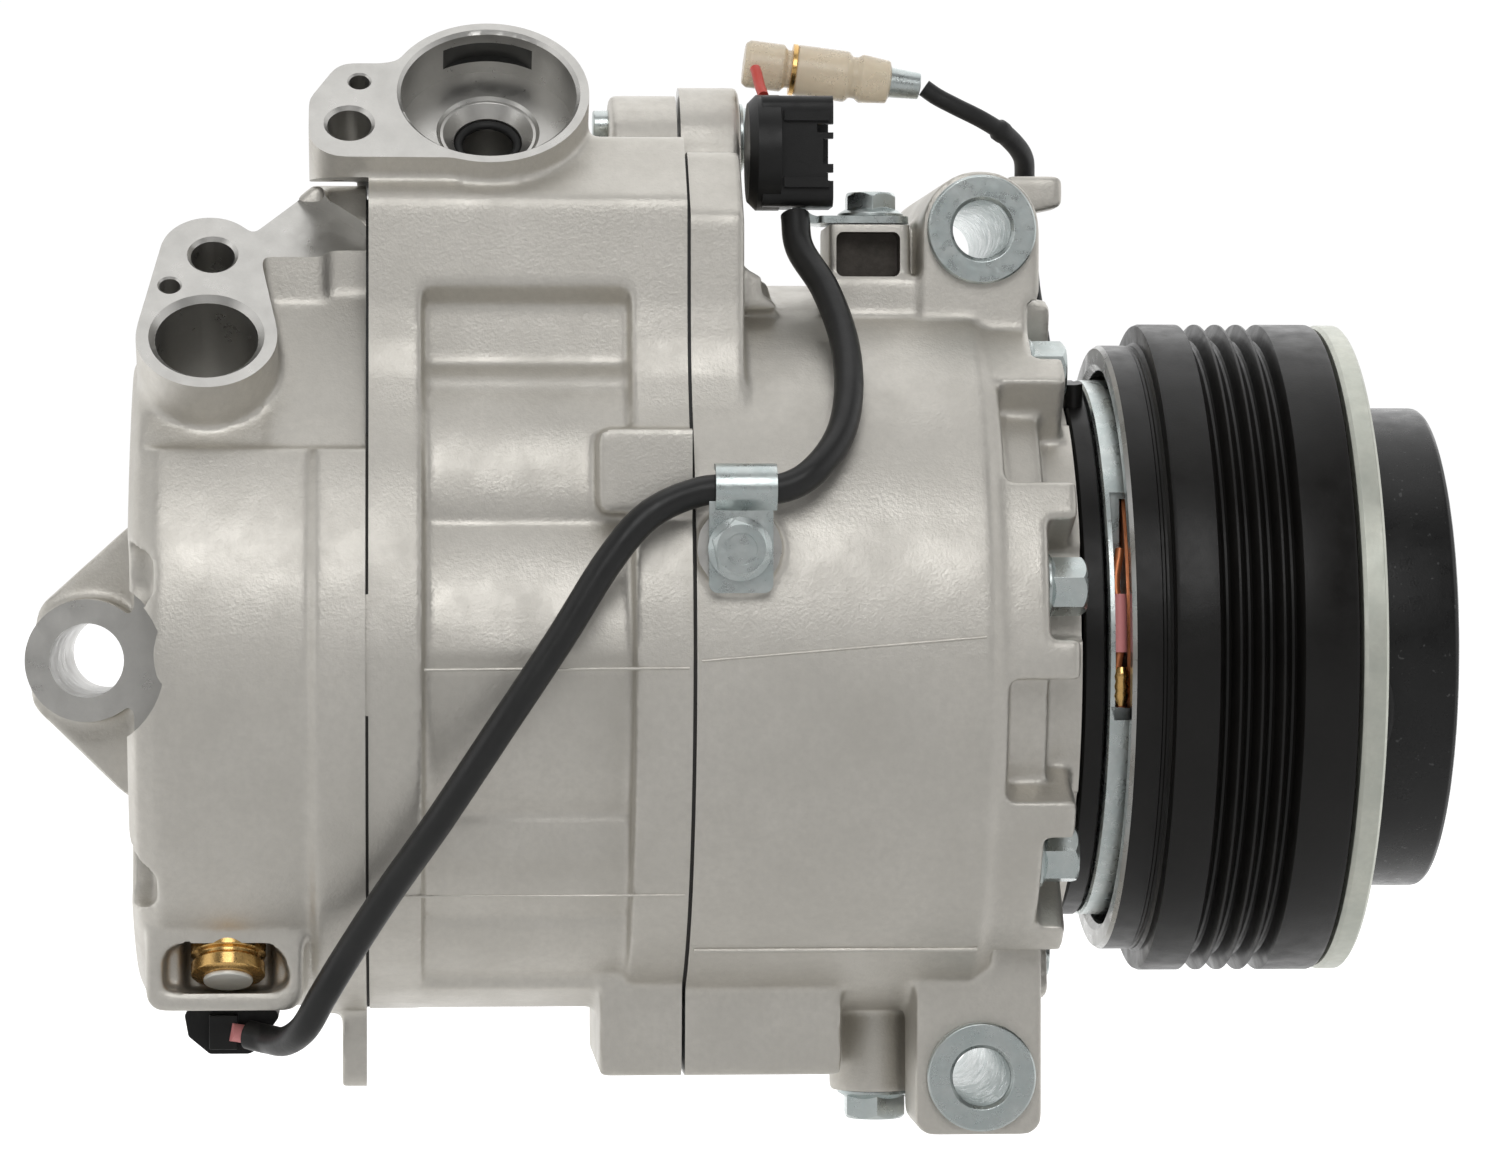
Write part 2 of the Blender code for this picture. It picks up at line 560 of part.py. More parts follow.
def ring_piece(name, low, high, inner, outer, look, steps=ROUND, add=(), cut=()):
    return piece(
        name, turned([(high, outer), (low, outer), (low, inner), (high, inner)], steps), look, add, cut
    )


def bearings():
    ring_piece("front_shaft_bearing", -3.6, 12.8, 9.8, 14.9, STEEL, COARSE)
    ring_piece("rear_shaft_bearing", -99.9, -84, 7.8, 9.9, STEEL, COARSE)
    ring_piece("thrust_bearing", -7.7, -4.4, 18, 32, STEEL, COARSE)
    seal = [(27, 14.6), (17.6, 14.6), (17.6, 10.6), (20, 9.8), (23, 9.8), (24, 11.5), (27, 11.5)]
    piece("shaft_seal", turned(seal, COARSE), RUBBER)


def flange_bolt(name, head_at, direction, end, flange_r, hex_r, head_high, radius, look=ZINC):
    """A hexagon bolt with a flange under its head, its head seated at head_at and its end along direction."""
    head_at, direction = Vector(head_at), Vector(direction)
    flange = rod(head_at, head_at - direction * 1.2, flange_r, 12)
    head = rod(head_at - direction * 0.6, head_at - direction * head_high, hex_r, 6)
    shank = rod(head_at - direction * 0.4, head_at + direction * end, radius)
    return piece(name, flange, look, [head, shank])


def through_bolts():
    for i, angle in enumerate(bolt_angles()):
        seat = around(BOLT_CIRCLE_R, angle, BOLT_SEAT_X + GAP)
        flange_bolt(f"through_bolt_{i + 1}", seat, (-1, 0, 0), BOLT_SEAT_X - BOLT_END_X, 5.3, 4.9, 6.4, BOLT_R)


def lug_bushings():
    for name, z in (("front_upper_bushing", UPPER_LUG_Z), ("front_lower_bushing", LOWER_LUG_Z)):
        profile = [
            (-LUG_FRONT_Y + 2.2, BUSHING_FLANGE_R), (-LUG_FRONT_Y + GAP, BUSHING_FLANGE_R),
            (-LUG_FRONT_Y + GAP, BUSHING_R), (-LUG_REAR_Y + 4, BUSHING_R), (-LUG_REAR_Y + 4, BUSHING_BORE_R),
            (-LUG_FRONT_Y + 2.2, BUSHING_BORE_R),
        ]
        piece(name, turned(profile, COARSE, ALONG_Y, (0, 0, z)), ZINC)


def oil_plug():
    flange_bolt("oil_plug", (-15.2, 0, -75.3), (0, 0, 1), 12, 6.4, 5.6, 4.8, 3.7)


# ---------------------------------------------------------------- control valve and leads


def control_valve():
    """The displacement valve across the rear head, its brass fitting in the window, and its connector below."""
    body = rod((VALVE_X, -25, VALVE_Z), (VALVE_X, -3.6, VALVE_Z), VALVE_R, COARSE)
    piece("control_valve_body", body, BRASS)
    end = Vector((VALVE_X, -36.6, -53.6))
    fitting = rod(end + FITTING_ALONG * 7.5, end + FITTING_ALONG * 0.8, 5.0, 6)
    piece("control_valve_fitting", fitting, BRASS, [rod(end + FITTING_ALONG * 2, end, 3.9, COARSE)])
    shell = rounded([(-131.3, -59), (-130.5, -63.3, 1.5), (-127, -66.2, 1), (-120, -66.2, 1), (-114.8, -59)])
    stem = rod((VALVE_X, -12, -60.3), (VALVE_X, -12, -55.2), 4.0)
    piece("valve_connector", prism(shell, 14, 26, ALONG_Y), BLACK_PLASTIC,
          [box((-127, -31.5, -65.2), (-121.8, -24, -59.6)), stem])


VALVE_LEAD_ROUTE = [
    (-30.5, -24, 72.0), (-29.9, -27, 66.3), (-26.2, -33, 59.4), (-23.8, -40.5, 51.0), (-23.6, -48.5, 42.6),
    (-25.5, -55, 35.2), (-29.8, -59.8, 29.5), (-34.8, -61.3, 26.6), (-41.5, -61.4, 26.2), (-48.4, -61.8, 25.9),
    (-56.4, -63.4, 22.3), (-62.8, -64.3, 15.1), (-70.8, -64.8, 2.4), (-80.3, -64.6, -11.9), (-89.8, -60.8, -26.4),
    (-97.8, -54.4, -38.1), (-104.4, -48.5, -48.6), (-108.2, -46.5, -55.0), (-111.2, -43.0, -60.4),
    (-114.4, -36.0, -63.2), (-117.4, -30.4, -63.4), (-120.6, -28.4, -62.8),
]
COIL_LEAD_ROUTE = [
    (-7.2, -5, 94.8), (-5.0, -5, 93.3), (-1.7, -5, 91.6), (3.0, -4, 89.4), (7.3, -1, 87.0), (10.6, 4, 84.0),
    (11.5, 8.5, 80.4), (12.3, 13.5, 75.4), (13.0, 18, 70.5), (13.8, 22.5, 65.4), (14.8, 26, 60.6),
    (16.2, 27.6, 54.6), (16.9, 26.8, 48.6), (17.0, 25.6, 44.2),
]
LEAD_R, COIL_LEAD_R = 2.4, 1.5


def leads():
    piece("valve_lead", tube(smooth_route(VALVE_LEAD_ROUTE, 40), LEAD_R), RUBBER)
    piece("coil_lead", tube(smooth_route(COIL_LEAD_ROUTE, 22), COIL_LEAD_R), RUBBER)


def cable_clip():
    """A P-clip: a tab under the screw, and a strap bent over the lead."""
    tab = prism(rounded([(-47.0, 9.8, 1), (-36.8, 9.8, 1), (-36.8, 23.8), (-47.0, 23.8)]), 62.1, 63.3, ALONG_Y)
    strap_outline = [(-63.3, 22.9), *arc((-61.4, 26.5), 3.9, 212, 90, 8), (-58.6, 30.4), (-58.6, 29.4),
                     *arc((-61.4, 26.5), 2.9, 90, 225, 8), (-62.1, 22.9)]
    strap = prism(strap_outline, -46.0, -36.2)
    piece("cable_clip", tab, ZINC, [strap], [rod((-42.1, -70, 16), (-42.1, -60, 16), 2.9)])
    flange_bolt("clip_screw", (-42.1, -63.6, 16.8), (0, 1, 0), 10.5, 5.2, 4.8, 3.6, 2.1)


def harness():
    """The plug on its bracket, and the sleeve over the coil lead's bullet joint."""
    disc = rod((-38.2, -20, 82.6), (-33.0, -20, 82.6), 9.6, COARSE)
    shell = box((-36, -26.5, 73.2), (-24.2, -13.5, 92.0))
    socket = box((-32, -24.7, 75.2), (-20, -15.3, 90.0))
    piece("harness_connector", disc, BLACK_PLASTIC, [shell], [socket])
    foot_plate = prism([(-26.5, -24), (-11.4, -24), (-11.4, -11), (-26.5, -11)], 70.8, 72.0, ALONG_Z)
    piece("connector_bracket", foot_plate, ZINC, [box((-23.6, -24, 71), (-22.4, -11, 78))],
          [rod((-17.4, -17, 70), (-17.4, -17, 73), 3.2)])
    flange_bolt("bracket_bolt", (-17.4, -17, 72.4), (0, 0, -1), 12, 5.0, 4.6, 5.4, 2.6)
    start, end = Vector((-37.8, -5, 98.8)), Vector((-7.6, -5, 95.0))
    along = (end - start).normalized()
    wire = [(-36.0, -11.2, 96.6), (-35.7, -13.2, 94.6), (-35.2, -16, 92.7)]
    piece("connector_wire", tube(wire, 0.9, 1), ((0.6, 0.05, 0.03), 0.5, 0.0))
    piece("bullet_sleeve", rod(start, start + along * 24, 4.4, 16, 3.8), CREAM,
          [rod(start + along * 23, end - along * 0.4, 2.6)])


# ---------------------------------------------------------------- clutch


def coil():
    plate = turned([(18.6, COIL_OUTER_R), (15.0, COIL_OUTER_R), (15.0, 19.8), (18.6, 19.8)], FINE)
    grommet = box((15.3, 22.6, 34), (18.3, 28.4, 43.5))
    piece("coil_mount_plate", plate, BLACK_PAINT, [grommet])
    yoke = turned([
        (COIL_FRONT_X, COIL_OUTER_R), (COIL_REAR_X, COIL_OUTER_R), (COIL_REAR_X, COIL_INNER_R),
        (COIL_FRONT_X, COIL_INNER_R), (COIL_FRONT_X, 35.8), (22.0, 35.8), (22.0, 43.8), (COIL_FRONT_X, 43.8),
    ], FINE)
    piece("coil_yoke", yoke, ZINC, (), [box((20.2, -50, -11), (32, -36, 26))])
    ring_piece("coil_winding", 22.4, 47, 36.2, 43.4, COPPER)
    clip = turned([(20.2, 23), (19.2, 23), (19.2, 18.8), (20.2, 18.8)], ROUND)
    piece("coil_snap_ring", clip, STEEL, (), [box((18, -3, -25), (21.5, 3, -15))])


def pulley():
    outer = [(PULLEY_FRONT_X, PULLEY_R - 0.7), (PULLEY_FRONT_X - 0.7, PULLEY_R)]
    for i in reversed(range(GROOVE_COUNT)):
        x = FIRST_GROOVE_X + i * GROOVE_PITCH
        outer += [
            (x + 1.5, PULLEY_R), (x + 0.5, PULLEY_R - GROOVE_DEPTH), (x - 0.5, PULLEY_R - GROOVE_DEPTH),
            (x - 1.5, PULLEY_R),
        ]
    outer += [
        (PULLEY_LAND_X + 0.5, PULLEY_R), (PULLEY_LAND_X, PULLEY_R - 0.6), (PULLEY_LAND_X, PULLEY_STEP_R),
        (PULLEY_REAR_X + 0.5, PULLEY_STEP_R), (PULLEY_REAR_X, PULLEY_STEP_R - 0.5), (PULLEY_REAR_X, 48.4),
    ]
    inner = [
        (PULLEY_REAR_X + 1, PULLEY_WALL_R), (PULLEY_DISC_X, PULLEY_WALL_R), (PULLEY_DISC_X, PULLEY_HUB_R),
        (32.5, PULLEY_HUB_R), (32.5, PULLEY_HUB_BORE_R), (PULLEY_DISC_X, PULLEY_HUB_BORE_R),
        (PULLEY_DISC_X, 24.8), (PULLEY_FRONT_X, 24.8),
    ]
    piece("pulley", turned(outer + inner, FINE), BLACK_PAINT)


def pulley_bearing():
    ring_piece("bearing_outer_ring", 33.0, 52.7, 23.9, 25.9, STEEL)
    ring_piece("bearing_inner_ring", 33.0, 52.7, 17.5, 19.6, STEEL)
    balls = [ball(around(21.75, i * 45, 43), 1.8) for i in range(8)]
    ring_piece("bearing_cage", 39.5, 46.5, 21.0, 22.5, STEEL, COARSE, balls)
    clip = turned([(54.25, 20), (53.15, 20), (53.15, 16.6), (54.25, 16.6)], ROUND)
    piece("pulley_snap_ring", clip, STEEL, (), [box((52, -3, -25), (55, 3, -14))])


def armature_and_hub():
    ring_piece("armature_plate", ARMATURE_X, ARMATURE_FRONT_X, ARMATURE_BORE_R, PULLEY_R - 0.1, ZINC, FINE)
    spring_cuts = [sector(62, 66, 33.5, 42, 30 + i * 120, 30) for i in range(3)]
    ring_piece("return_spring", 63.8, 64.25, 29, 38, STEEL, ROUND, (), spring_cuts)
    cup = [
        (CUP_FRONT_X, CUP_R - 1.4), (CUP_FRONT_X - 0.5, CUP_R - 0.4), (CUP_FRONT_X - 1.4, CUP_R),
        (CUP_REAR_X, CUP_R), (CUP_REAR_X, 38.2), (75.3, 38.2), (75.3, 14), (CUP_FRONT_X, 14),
    ]
    piece("damper_cup", turned(cup, FINE), BLACK_PAINT)
    ring_piece("damper_rubber", 66.4, 75.0, 24.6, 37.9, RUBBER)
    boss = [
        (73.5, 24.2), (65.4, 24.2), (65.4, 11.5), (42, 11.5), (42, SHAFT_NOSE_R + GAP),
        (58.6, SHAFT_NOSE_R + GAP), (58.6, 3.4), (64.2, 3.4), (64.2, 9.4), (73.5, 9.4),
    ]
    piece("hub_boss", turned(boss, COARSE), STEEL)
    flange_bolt("hub_bolt", (64.5, 0, 0), (-1, 0, 0), 20, 7.0, 5.8, 6.0, 2.7)


front_housing()
cylinder_block()
rear_head()
gaskets_and_valves()
pistons()
rotating_group()
bearings()
through_bolts()
lug_bushings()
oil_plug()
control_valve()
leads()
cable_clip()
harness()
coil()
pulley()
pulley_bearing()
armature_and_hub()
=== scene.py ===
"""Looks of a car air-conditioning compressor and its electromagnetic clutch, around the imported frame.

Sizes are in millimetres until a mesh is made, in the CAD frame: the shaft runs along X with the clutch at +X,
+Z is up, and the ports and leads are on the -Y side.
"""

import math

import bmesh
import bpy
from mathutils import Matrix, Vector


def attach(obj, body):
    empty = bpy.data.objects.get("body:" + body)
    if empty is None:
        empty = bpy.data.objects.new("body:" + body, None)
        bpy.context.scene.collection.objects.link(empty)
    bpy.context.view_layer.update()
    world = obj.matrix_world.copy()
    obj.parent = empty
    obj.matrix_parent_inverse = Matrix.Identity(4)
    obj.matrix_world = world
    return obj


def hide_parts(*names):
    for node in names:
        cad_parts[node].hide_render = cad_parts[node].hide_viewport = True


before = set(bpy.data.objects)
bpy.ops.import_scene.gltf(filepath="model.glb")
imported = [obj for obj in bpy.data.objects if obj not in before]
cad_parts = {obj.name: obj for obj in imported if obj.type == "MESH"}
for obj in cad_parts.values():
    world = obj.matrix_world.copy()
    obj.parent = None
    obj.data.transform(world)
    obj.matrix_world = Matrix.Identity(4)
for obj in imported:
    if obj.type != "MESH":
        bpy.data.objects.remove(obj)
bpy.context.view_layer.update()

MM = 0.001
FINE = 128
VOXEL = 0.62

ALONG_X = Matrix(((0, 0, 1), (1, 0, 0), (0, 1, 0)))
ALONG_Y = Matrix(((1, 0, 0), (0, 0, -1), (0, 1, 0)))
ALONG_Z = Matrix.Identity(3)
PORT_NORMAL = Vector((0, -0.743, 0.669))
PORT_UP = Vector((0, 0.669, 0.743))
ALONG_PORT = Matrix(((1, 0, 0), PORT_UP, PORT_NORMAL)).transposed()

HOUSING_REAR, BLOCK_FRONT, BLOCK_REAR, HEAD_FRONT, HEAD_REAR = -48.76, -49.34, -100.86, -101.34, -139.2
BARREL_R, BLOCK_R, HEAD_R = 61.4, 60.8, 61.6
CYLINDERS, CYLINDER_CIRCLE_R, CYLINDER_R, FIRST_CYLINDER = 7, 33.6, 13.6, 35
WINDOW_REAR, WINDOW_FRONT = -92.2, -58.6
SUCTION_AT, SUCTION_SCREW, SUCTION_PIN = Vector((-81.3, -32.0, 91.5)), (-22.7, -7.5), (-21.1, 2.4)
DISCHARGE_AT, DISCHARGE_SCREW, DISCHARGE_PIN = Vector((-126.8, -46.0, 51.0)), (0.6, 18.4), (-6.2, 11.4)
SCREW_HOLE_R, PIN_HOLE_R = 3.6, 1.7
LUG_FRONT_Y, LUG_REAR_Y = -28.0, 42.0
UPPER_LUG_Z, LOWER_LUG_Z, REAR_LUG_X, REAR_LUG_Z = 69.5, -70.4, -147.0, -1.5
BOLT_CIRCLE_R, BOLT_HOLE_R, BOLT_R = 52.0, 3.3, 2.9
BOLT_ANGLES = [11.9 + i * 360 / CYLINDERS for i in range(CYLINDERS)]
CLIP_SCREW_AT = Vector((-42.1, -61.8, 16.8))
PULLEY_R, GROOVE_ROOT_R, GROOVE_PITCH, GROOVES, FIRST_GROOVE_X = 55.0, 52.15, 3.56, 4, 37.5
PLUG_Y, PLUG_Z = -20, 82.6
VALVE_X, VALVE_Z = -123.7, -49

BENCH = bpy.data.collections.new("workbench")
bpy.context.scene.collection.children.link(BENCH)
PIECES = bpy.data.collections.new("compressor_looks")
bpy.context.scene.collection.children.link(PIECES)


# ---------------------------------------------------------------- mesh helpers


def bench(shape, matrix=None):
    """A working object from a bmesh, in millimetres, placed in the frame in metres."""
    bmesh.ops.recalc_face_normals(shape, faces=shape.faces)
    mesh = bpy.data.meshes.new("work")
    shape.to_mesh(mesh)
    shape.free()
    mesh.transform(Matrix.Diagonal((MM, MM, MM, 1)) @ (matrix or Matrix.Identity(4)))
    obj = bpy.data.objects.new("work", mesh)
    BENCH.objects.link(obj)
    return obj


def place(at, axes):
    return Matrix.Translation(Vector(at)) @ axes.to_4x4()


def aim(direction):
    return Vector(direction).to_track_quat("Z", "Y").to_matrix()


def turned(profile, steps=FINE, axes=ALONG_X, at=(0, 0, 0)):
    """A turned shape from (along, radius) pairs, closed on itself or open at the axis."""
    shape = bmesh.new()
    points = [shape.verts.new((radius, 0, along)) for along, radius in profile]
    edges = [shape.edges.new(pair) for pair in zip(points, points[1:])]
    if profile[0][1] > 0:
        edges.append(shape.edges.new((points[-1], points[0])))
    bmesh.ops.spin(
        shape, geom=points + edges, cent=(0, 0, 0), axis=(0, 0, 1), angle=2 * math.pi, steps=steps,
        use_merge=True,
    )
    bmesh.ops.remove_doubles(shape, verts=shape.verts, dist=0.0005)
    return bench(shape, place(at, axes))


def prism(outline, low, high, axes=ALONG_X, at=(0, 0, 0)):
    """A flat outline thickened from low to high."""
    shape = bmesh.new()
    face = shape.faces.new([shape.verts.new((u, v, low)) for u, v in outline])
    top = bmesh.ops.extrude_face_region(shape, geom=[face])["geom"]
    raised = [v for v in top if isinstance(v, bmesh.types.BMVert)]
    bmesh.ops.translate(shape, verts=raised, vec=(0, 0, high - low))
    return bench(shape, place(at, axes))


def box(low, high):
    shape = bmesh.new()
    size, middle = Vector(high) - Vector(low), (Vector(high) + Vector(low)) / 2
    bmesh.ops.create_cube(shape, size=1, matrix=Matrix.Translation(middle) @ Matrix.Diagonal(size).to_4x4())
    return bench(shape)


def rod(start, end, radius, sides=48, end_radius=None, turn=0.0):
    start, end = Vector(start), Vector(end)
    shape = bmesh.new()
    bmesh.ops.create_cone(
        shape, cap_ends=True, segments=sides, radius1=radius,
        radius2=radius if end_radius is None else end_radius, depth=(end - start).length,
        matrix=Matrix.Rotation(math.radians(turn), 4, "Z"),
    )
    return bench(shape, place((start + end) / 2, aim(end - start)))


def arc(centre, radius, start, end, points=16):
    angles = [math.radians(start + (end - start) * i / (points - 1)) for i in range(points)]
    return [(centre[0] + radius * math.cos(a), centre[1] + radius * math.sin(a)) for a in angles]


def rounded(corners, points=8):
    """An outline whose corners are (u, v) or (u, v, radius)."""
    outline = []
    for i, corner in enumerate(corners):
        here = Vector(corner[:2])
        if len(corner) < 3:
            outline.append(tuple(here))
            continue
        before = (Vector(corners[i - 1][:2]) - here).normalized()
        after = (Vector(corners[(i + 1) % len(corners)][:2]) - here).normalized()
        half = before.angle(after) / 2
        centre = here + (before + after).normalized() * corner[2] / math.sin(half)
        first = here + before * corner[2] / math.tan(half) - centre
        last = here + after * corner[2] / math.tan(half) - centre
        outline += [tuple(centre + first.slerp(last, k / (points - 1)) * corner[2]) for k in range(points)]
    return outline


def around(radius, degrees, x=0.0):
    """A point at a radius and an angle about the shaft, from -Y towards +Z."""
    a = math.radians(degrees)
    return Vector((x, -radius * math.cos(a), radius * math.sin(a)))


def sector(low, high, inner, outer, middle, half):
    turns = [k / 8 - 1 for k in range(17)]
    ring = [around(outer, middle + t * half) for t in turns]
    ring += [around(inner, middle + t * half) for t in reversed(turns)]
    return prism([(p.y, p.z) for p in ring], low, high)


def smooth_route(route, count):
    """Points read from a smooth curve through the route's own points."""
    points = [Vector(p) for p in route]
    points = [2 * points[0] - points[1], *points, 2 * points[-1] - points[-2]]
    spans = len(points) - 3
    found = []
    for i in range(count):
        t = i * spans / (count - 1)
        k = min(int(t), spans - 1)
        t -= k
        a, b, c, d = points[k:k + 4]
        bend, twist = 2 * a - 5 * b + 4 * c - d, 3 * b - a - 3 * c + d
        found.append(0.5 * (2 * b + (c - a) * t + bend * t ** 2 + twist * t ** 3))
    return found


def tube(points, radius, sides=20):
    """A round lead swept along points, with its ends closed."""
    shape = bmesh.new()
    points = [Vector(p) for p in points]
    radii = radius if isinstance(radius, list) else [radius] * len(points)
    up, rings = Vector((0, 0, 1)), []
    for i, here in enumerate(points):
        along = (points[min(i + 1, len(points) - 1)] - points[max(i - 1, 0)]).normalized()
        side = up.cross(along) if up.cross(along).length > 0.2 else Vector((1, 0, 0)).cross(along)
        side.normalize()
        if rings and side.dot(last_side) < 0:
            side.negate()
        last_side, up = side, along.cross(side)
        rings.append([
            shape.verts.new(here + radii[i] * (math.cos(a) * side + math.sin(a) * up))
            for a in [2 * math.pi * k / sides for k in range(sides)]
        ])
    for low, high in zip(rings, rings[1:]):
        for k in range(sides):
            shape.faces.new((low[k], low[(k + 1) % sides], high[(k + 1) % sides], high[k]))
    shape.faces.new(rings[0])
    shape.faces.new(reversed(rings[-1]))
    return bench(shape)


def bake(obj):
    """Works an object's modifiers into its mesh."""
    bpy.context.view_layer.update()
    mesh = bpy.data.meshes.new_from_object(obj.evaluated_get(bpy.context.evaluated_depsgraph_get()))
    obj.modifiers.clear()
    obj.data = mesh
    return obj


def combine(obj, operation, shapes):
    for shape in shapes:
        modifier = obj.modifiers.new(operation, "BOOLEAN")
        modifier.operation = operation
        modifier.solver = "MANIFOLD"
        modifier.object = shape
    bake(obj)
    for shape in shapes:
        bpy.data.objects.remove(shape, do_unlink=True)
    return obj


def marked(shapes, index=1):
    """Gives cutters a second material slot, so that the faces they leave are machined ones; with index 2 they take
    the third slot, which holds painted shade.
    """
    for shape in shapes:
        if len(shape.data.materials):
            continue
        for _ in range(3):
            shape.data.materials.append(None)
        for face in shape.data.polygons:
            face.material_index = index
    return shapes


def cast(base, add, soft_cut, hard_cut, rounds=9):
    """A casting: shapes joined and pocketed, their edges softened, then cut crisply where it is machined."""
    combine(base, "UNION", add)
    combine(base, "DIFFERENCE", soft_cut)
    remesh = base.modifiers.new("Skin", "REMESH")
    remesh.mode = "VOXEL"
    remesh.voxel_size = VOXEL * MM
    soften = base.modifiers.new("Soften", "SMOOTH")
    soften.factor = 0.5
    soften.iterations = int(rounds * (0.62 / VOXEL) ** 2) + 1
    bake(base)
    for _ in range(3):
        base.data.materials.append(None)
    return combine(base, "DIFFERENCE", marked(hard_cut))


def show(obj, name, body, looks, bevel=0.0, replaces=(), angle=35):
    """Makes a working object a piece of the compressor."""
    obj.name = name
    BENCH.objects.unlink(obj)
    PIECES.objects.link(obj)
    looks = looks if isinstance(looks, (list, tuple)) else [looks]
    slots = len(obj.data.materials)
    for i, look in enumerate(looks):
        if i < slots:
            obj.data.materials[i] = look
        else:
            obj.data.materials.append(look)
    obj.data.shade_smooth()
    obj.data.set_sharp_from_angle(angle=math.radians(angle))
    if bevel:
        edge = obj.modifiers.new("Edge", "BEVEL")
        edge.width = bevel * MM
        edge.segments = 2
        edge.limit_method = "ANGLE"
        edge.angle_limit = math.radians(30)
        edge.harden_normals = True
    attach(obj, body)
    if replaces:
        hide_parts(*replaces)
    return obj


# ---------------------------------------------------------------- materials


def graded(tree, source, low, high, first, last, smooth=False):
    """A shader value that goes from first to last while the source goes from low to high."""
    node = tree.nodes.new("ShaderNodeMapRange")
    if smooth:
        node.interpolation_type = "SMOOTHSTEP"
    for socket, value in zip(("From Min", "From Max", "To Min", "To Max"), (low, high, first, last)):
        node.inputs[socket].default_value = value
    tree.links.new(source, node.inputs["Value"])
    return node.outputs["Result"]


def surface(name, colour, roughness, metallic=0.0, tint=None, mottle=0.3, mottle_mm=14.0, grain=0.2,
            grain_mm=0.5, rough_range=0.08, rings=0.0, ring_mm=0.35, ring_axis="X", gloss_level=0.5,
            transmission=0.0, speck=None):
    """A Principled material with uneven colour, uneven gloss and a fine grain or turning marks."""
    made = bpy.data.materials.new(name)
    made.use_nodes = True
    nodes, links = made.node_tree.nodes, made.node_tree.links
    shader = nodes["Principled BSDF"]
    shader.inputs["Metallic"].default_value = metallic
    shader.inputs["Specular IOR Level"].default_value = gloss_level
    shader.inputs["Transmission Weight"].default_value = transmission
    where = nodes.new("ShaderNodeTexCoord").outputs["Object"]

    def noise_at(size, detail=4.0, rough=0.6):
        texture = nodes.new("ShaderNodeTexNoise")
        texture.inputs["Scale"].default_value = 1 / (size * MM)
        texture.inputs["Detail"].default_value = detail
        texture.inputs["Roughness"].default_value = rough
        links.new(where, texture.inputs["Vector"])
        return texture.outputs["Fac"]

    def ramp(source, *values):
        return graded(made.node_tree, source, *values)

    def mixed(factor, first, second):
        node = nodes.new("ShaderNodeMix")
        node.data_type = "RGBA"
        links.new(factor, node.inputs["Factor"])
        for socket, value in ((node.inputs["A"], first), (node.inputs["B"], second)):
            if isinstance(value, tuple):
                socket.default_value = (*value, 1)
            else:
                links.new(value, socket)
        return node.outputs["Result"]

    tint = tint or tuple(c * 0.72 for c in colour)
    base = mixed(ramp(noise_at(mottle_mm), 0.35, 0.75, 0.0, mottle), colour, tint)
    spots = ramp(noise_at(grain_mm * 2.2, 2.0), 0.3, 0.7, 0.0, mottle * 0.6)
    base = mixed(spots, base, tuple(c * 0.82 for c in colour))
    if speck:
        base = mixed(ramp(noise_at(speck[1], 2.0), speck[2], speck[2] + 0.04, 0.0, speck[3]), base, speck[0])
    links.new(base, shader.inputs["Base Color"])
    gloss = ramp(noise_at(mottle_mm * 0.4), 0.3, 0.7, roughness - rough_range, roughness + rough_range)
    links.new(gloss, shader.inputs["Roughness"])
    bump = nodes.new("ShaderNodeBump")
    bump.inputs["Strength"].default_value = grain
    bump.inputs["Distance"].default_value = 0.25 * MM
    links.new(noise_at(grain_mm), bump.inputs["Height"])
    if rings:
        wave = nodes.new("ShaderNodeTexWave")
        wave.wave_type = "RINGS"
        wave.rings_direction = ring_axis
        wave.inputs["Scale"].default_value = 0.05 / (ring_mm * MM)
        wave.inputs["Distortion"].default_value = 1.5
        links.new(where, wave.inputs["Vector"])
        turning = nodes.new("ShaderNodeBump")
        turning.inputs["Strength"].default_value = rings
        turning.inputs["Distance"].default_value = 0.03 * MM
        links.new(wave.outputs["Fac"], turning.inputs["Height"])
        links.new(bump.outputs["Normal"], turning.inputs["Normal"])
        bump = turning
    links.new(bump.outputs["Normal"], shader.inputs["Normal"])
    return made


CAST = surface("cast_aluminium", (0.66, 0.635, 0.585), 0.46, 0.85, (0.54, 0.52, 0.475), 0.7, 22, 0.30, 0.55)
# Painted shade: a dark metal colour that stands in for the shade in the groove inside the suction port.
PORT_PAINTED_SHADE = surface("port_groove_painted_shade", (0.12, 0.12, 0.115), 0.4, 0.9, mottle=0.2, mottle_mm=5, grain=0.05)
# Painted shade: a near-black casting colour that stands in for the shadow deep in the bracket pocket.
CAST_PAINTED_SHADE = surface("painted_shade_casting", (0.07, 0.06, 0.05), 0.6, 0.3, (0.16, 0.14, 0.12), 0.8, 5, 0.3, 0.5)
MACHINED = surface("machined_aluminium", (0.58, 0.57, 0.545), 0.33, 0.95, mottle=0.35, mottle_mm=9, grain=0.07,
                   grain_mm=0.3)
NOSE = surface("turned_aluminium", (0.60, 0.59, 0.57), 0.30, 0.95, mottle=0.2, grain=0.04, rings=0.5)
STEEL = surface("bare_steel", (0.52, 0.52, 0.51), 0.32, 1.0, mottle=0.4, grain=0.06, grain_mm=0.4)
TURNED_STEEL = surface("turned_steel", (0.50, 0.50, 0.49), 0.30, 1.0, mottle=0.35, grain=0.05, rings=0.4)
ZINC = surface("zinc_plated_steel", (0.60, 0.64, 0.63), 0.30, 1.0, (0.42, 0.50, 0.50), 0.7, 5, 0.10, 0.5)
ZINC_PALE = surface("pale_cap", (0.86, 0.85, 0.80), 0.4, 0.3, mottle=0.2, mottle_mm=3, grain=0.05)
PLATE = surface("armature_zinc", (0.62, 0.63, 0.56), 0.42, 0.8, (0.45, 0.48, 0.43), 0.7, 7, 0.12, 0.4,
                rings=0.2)
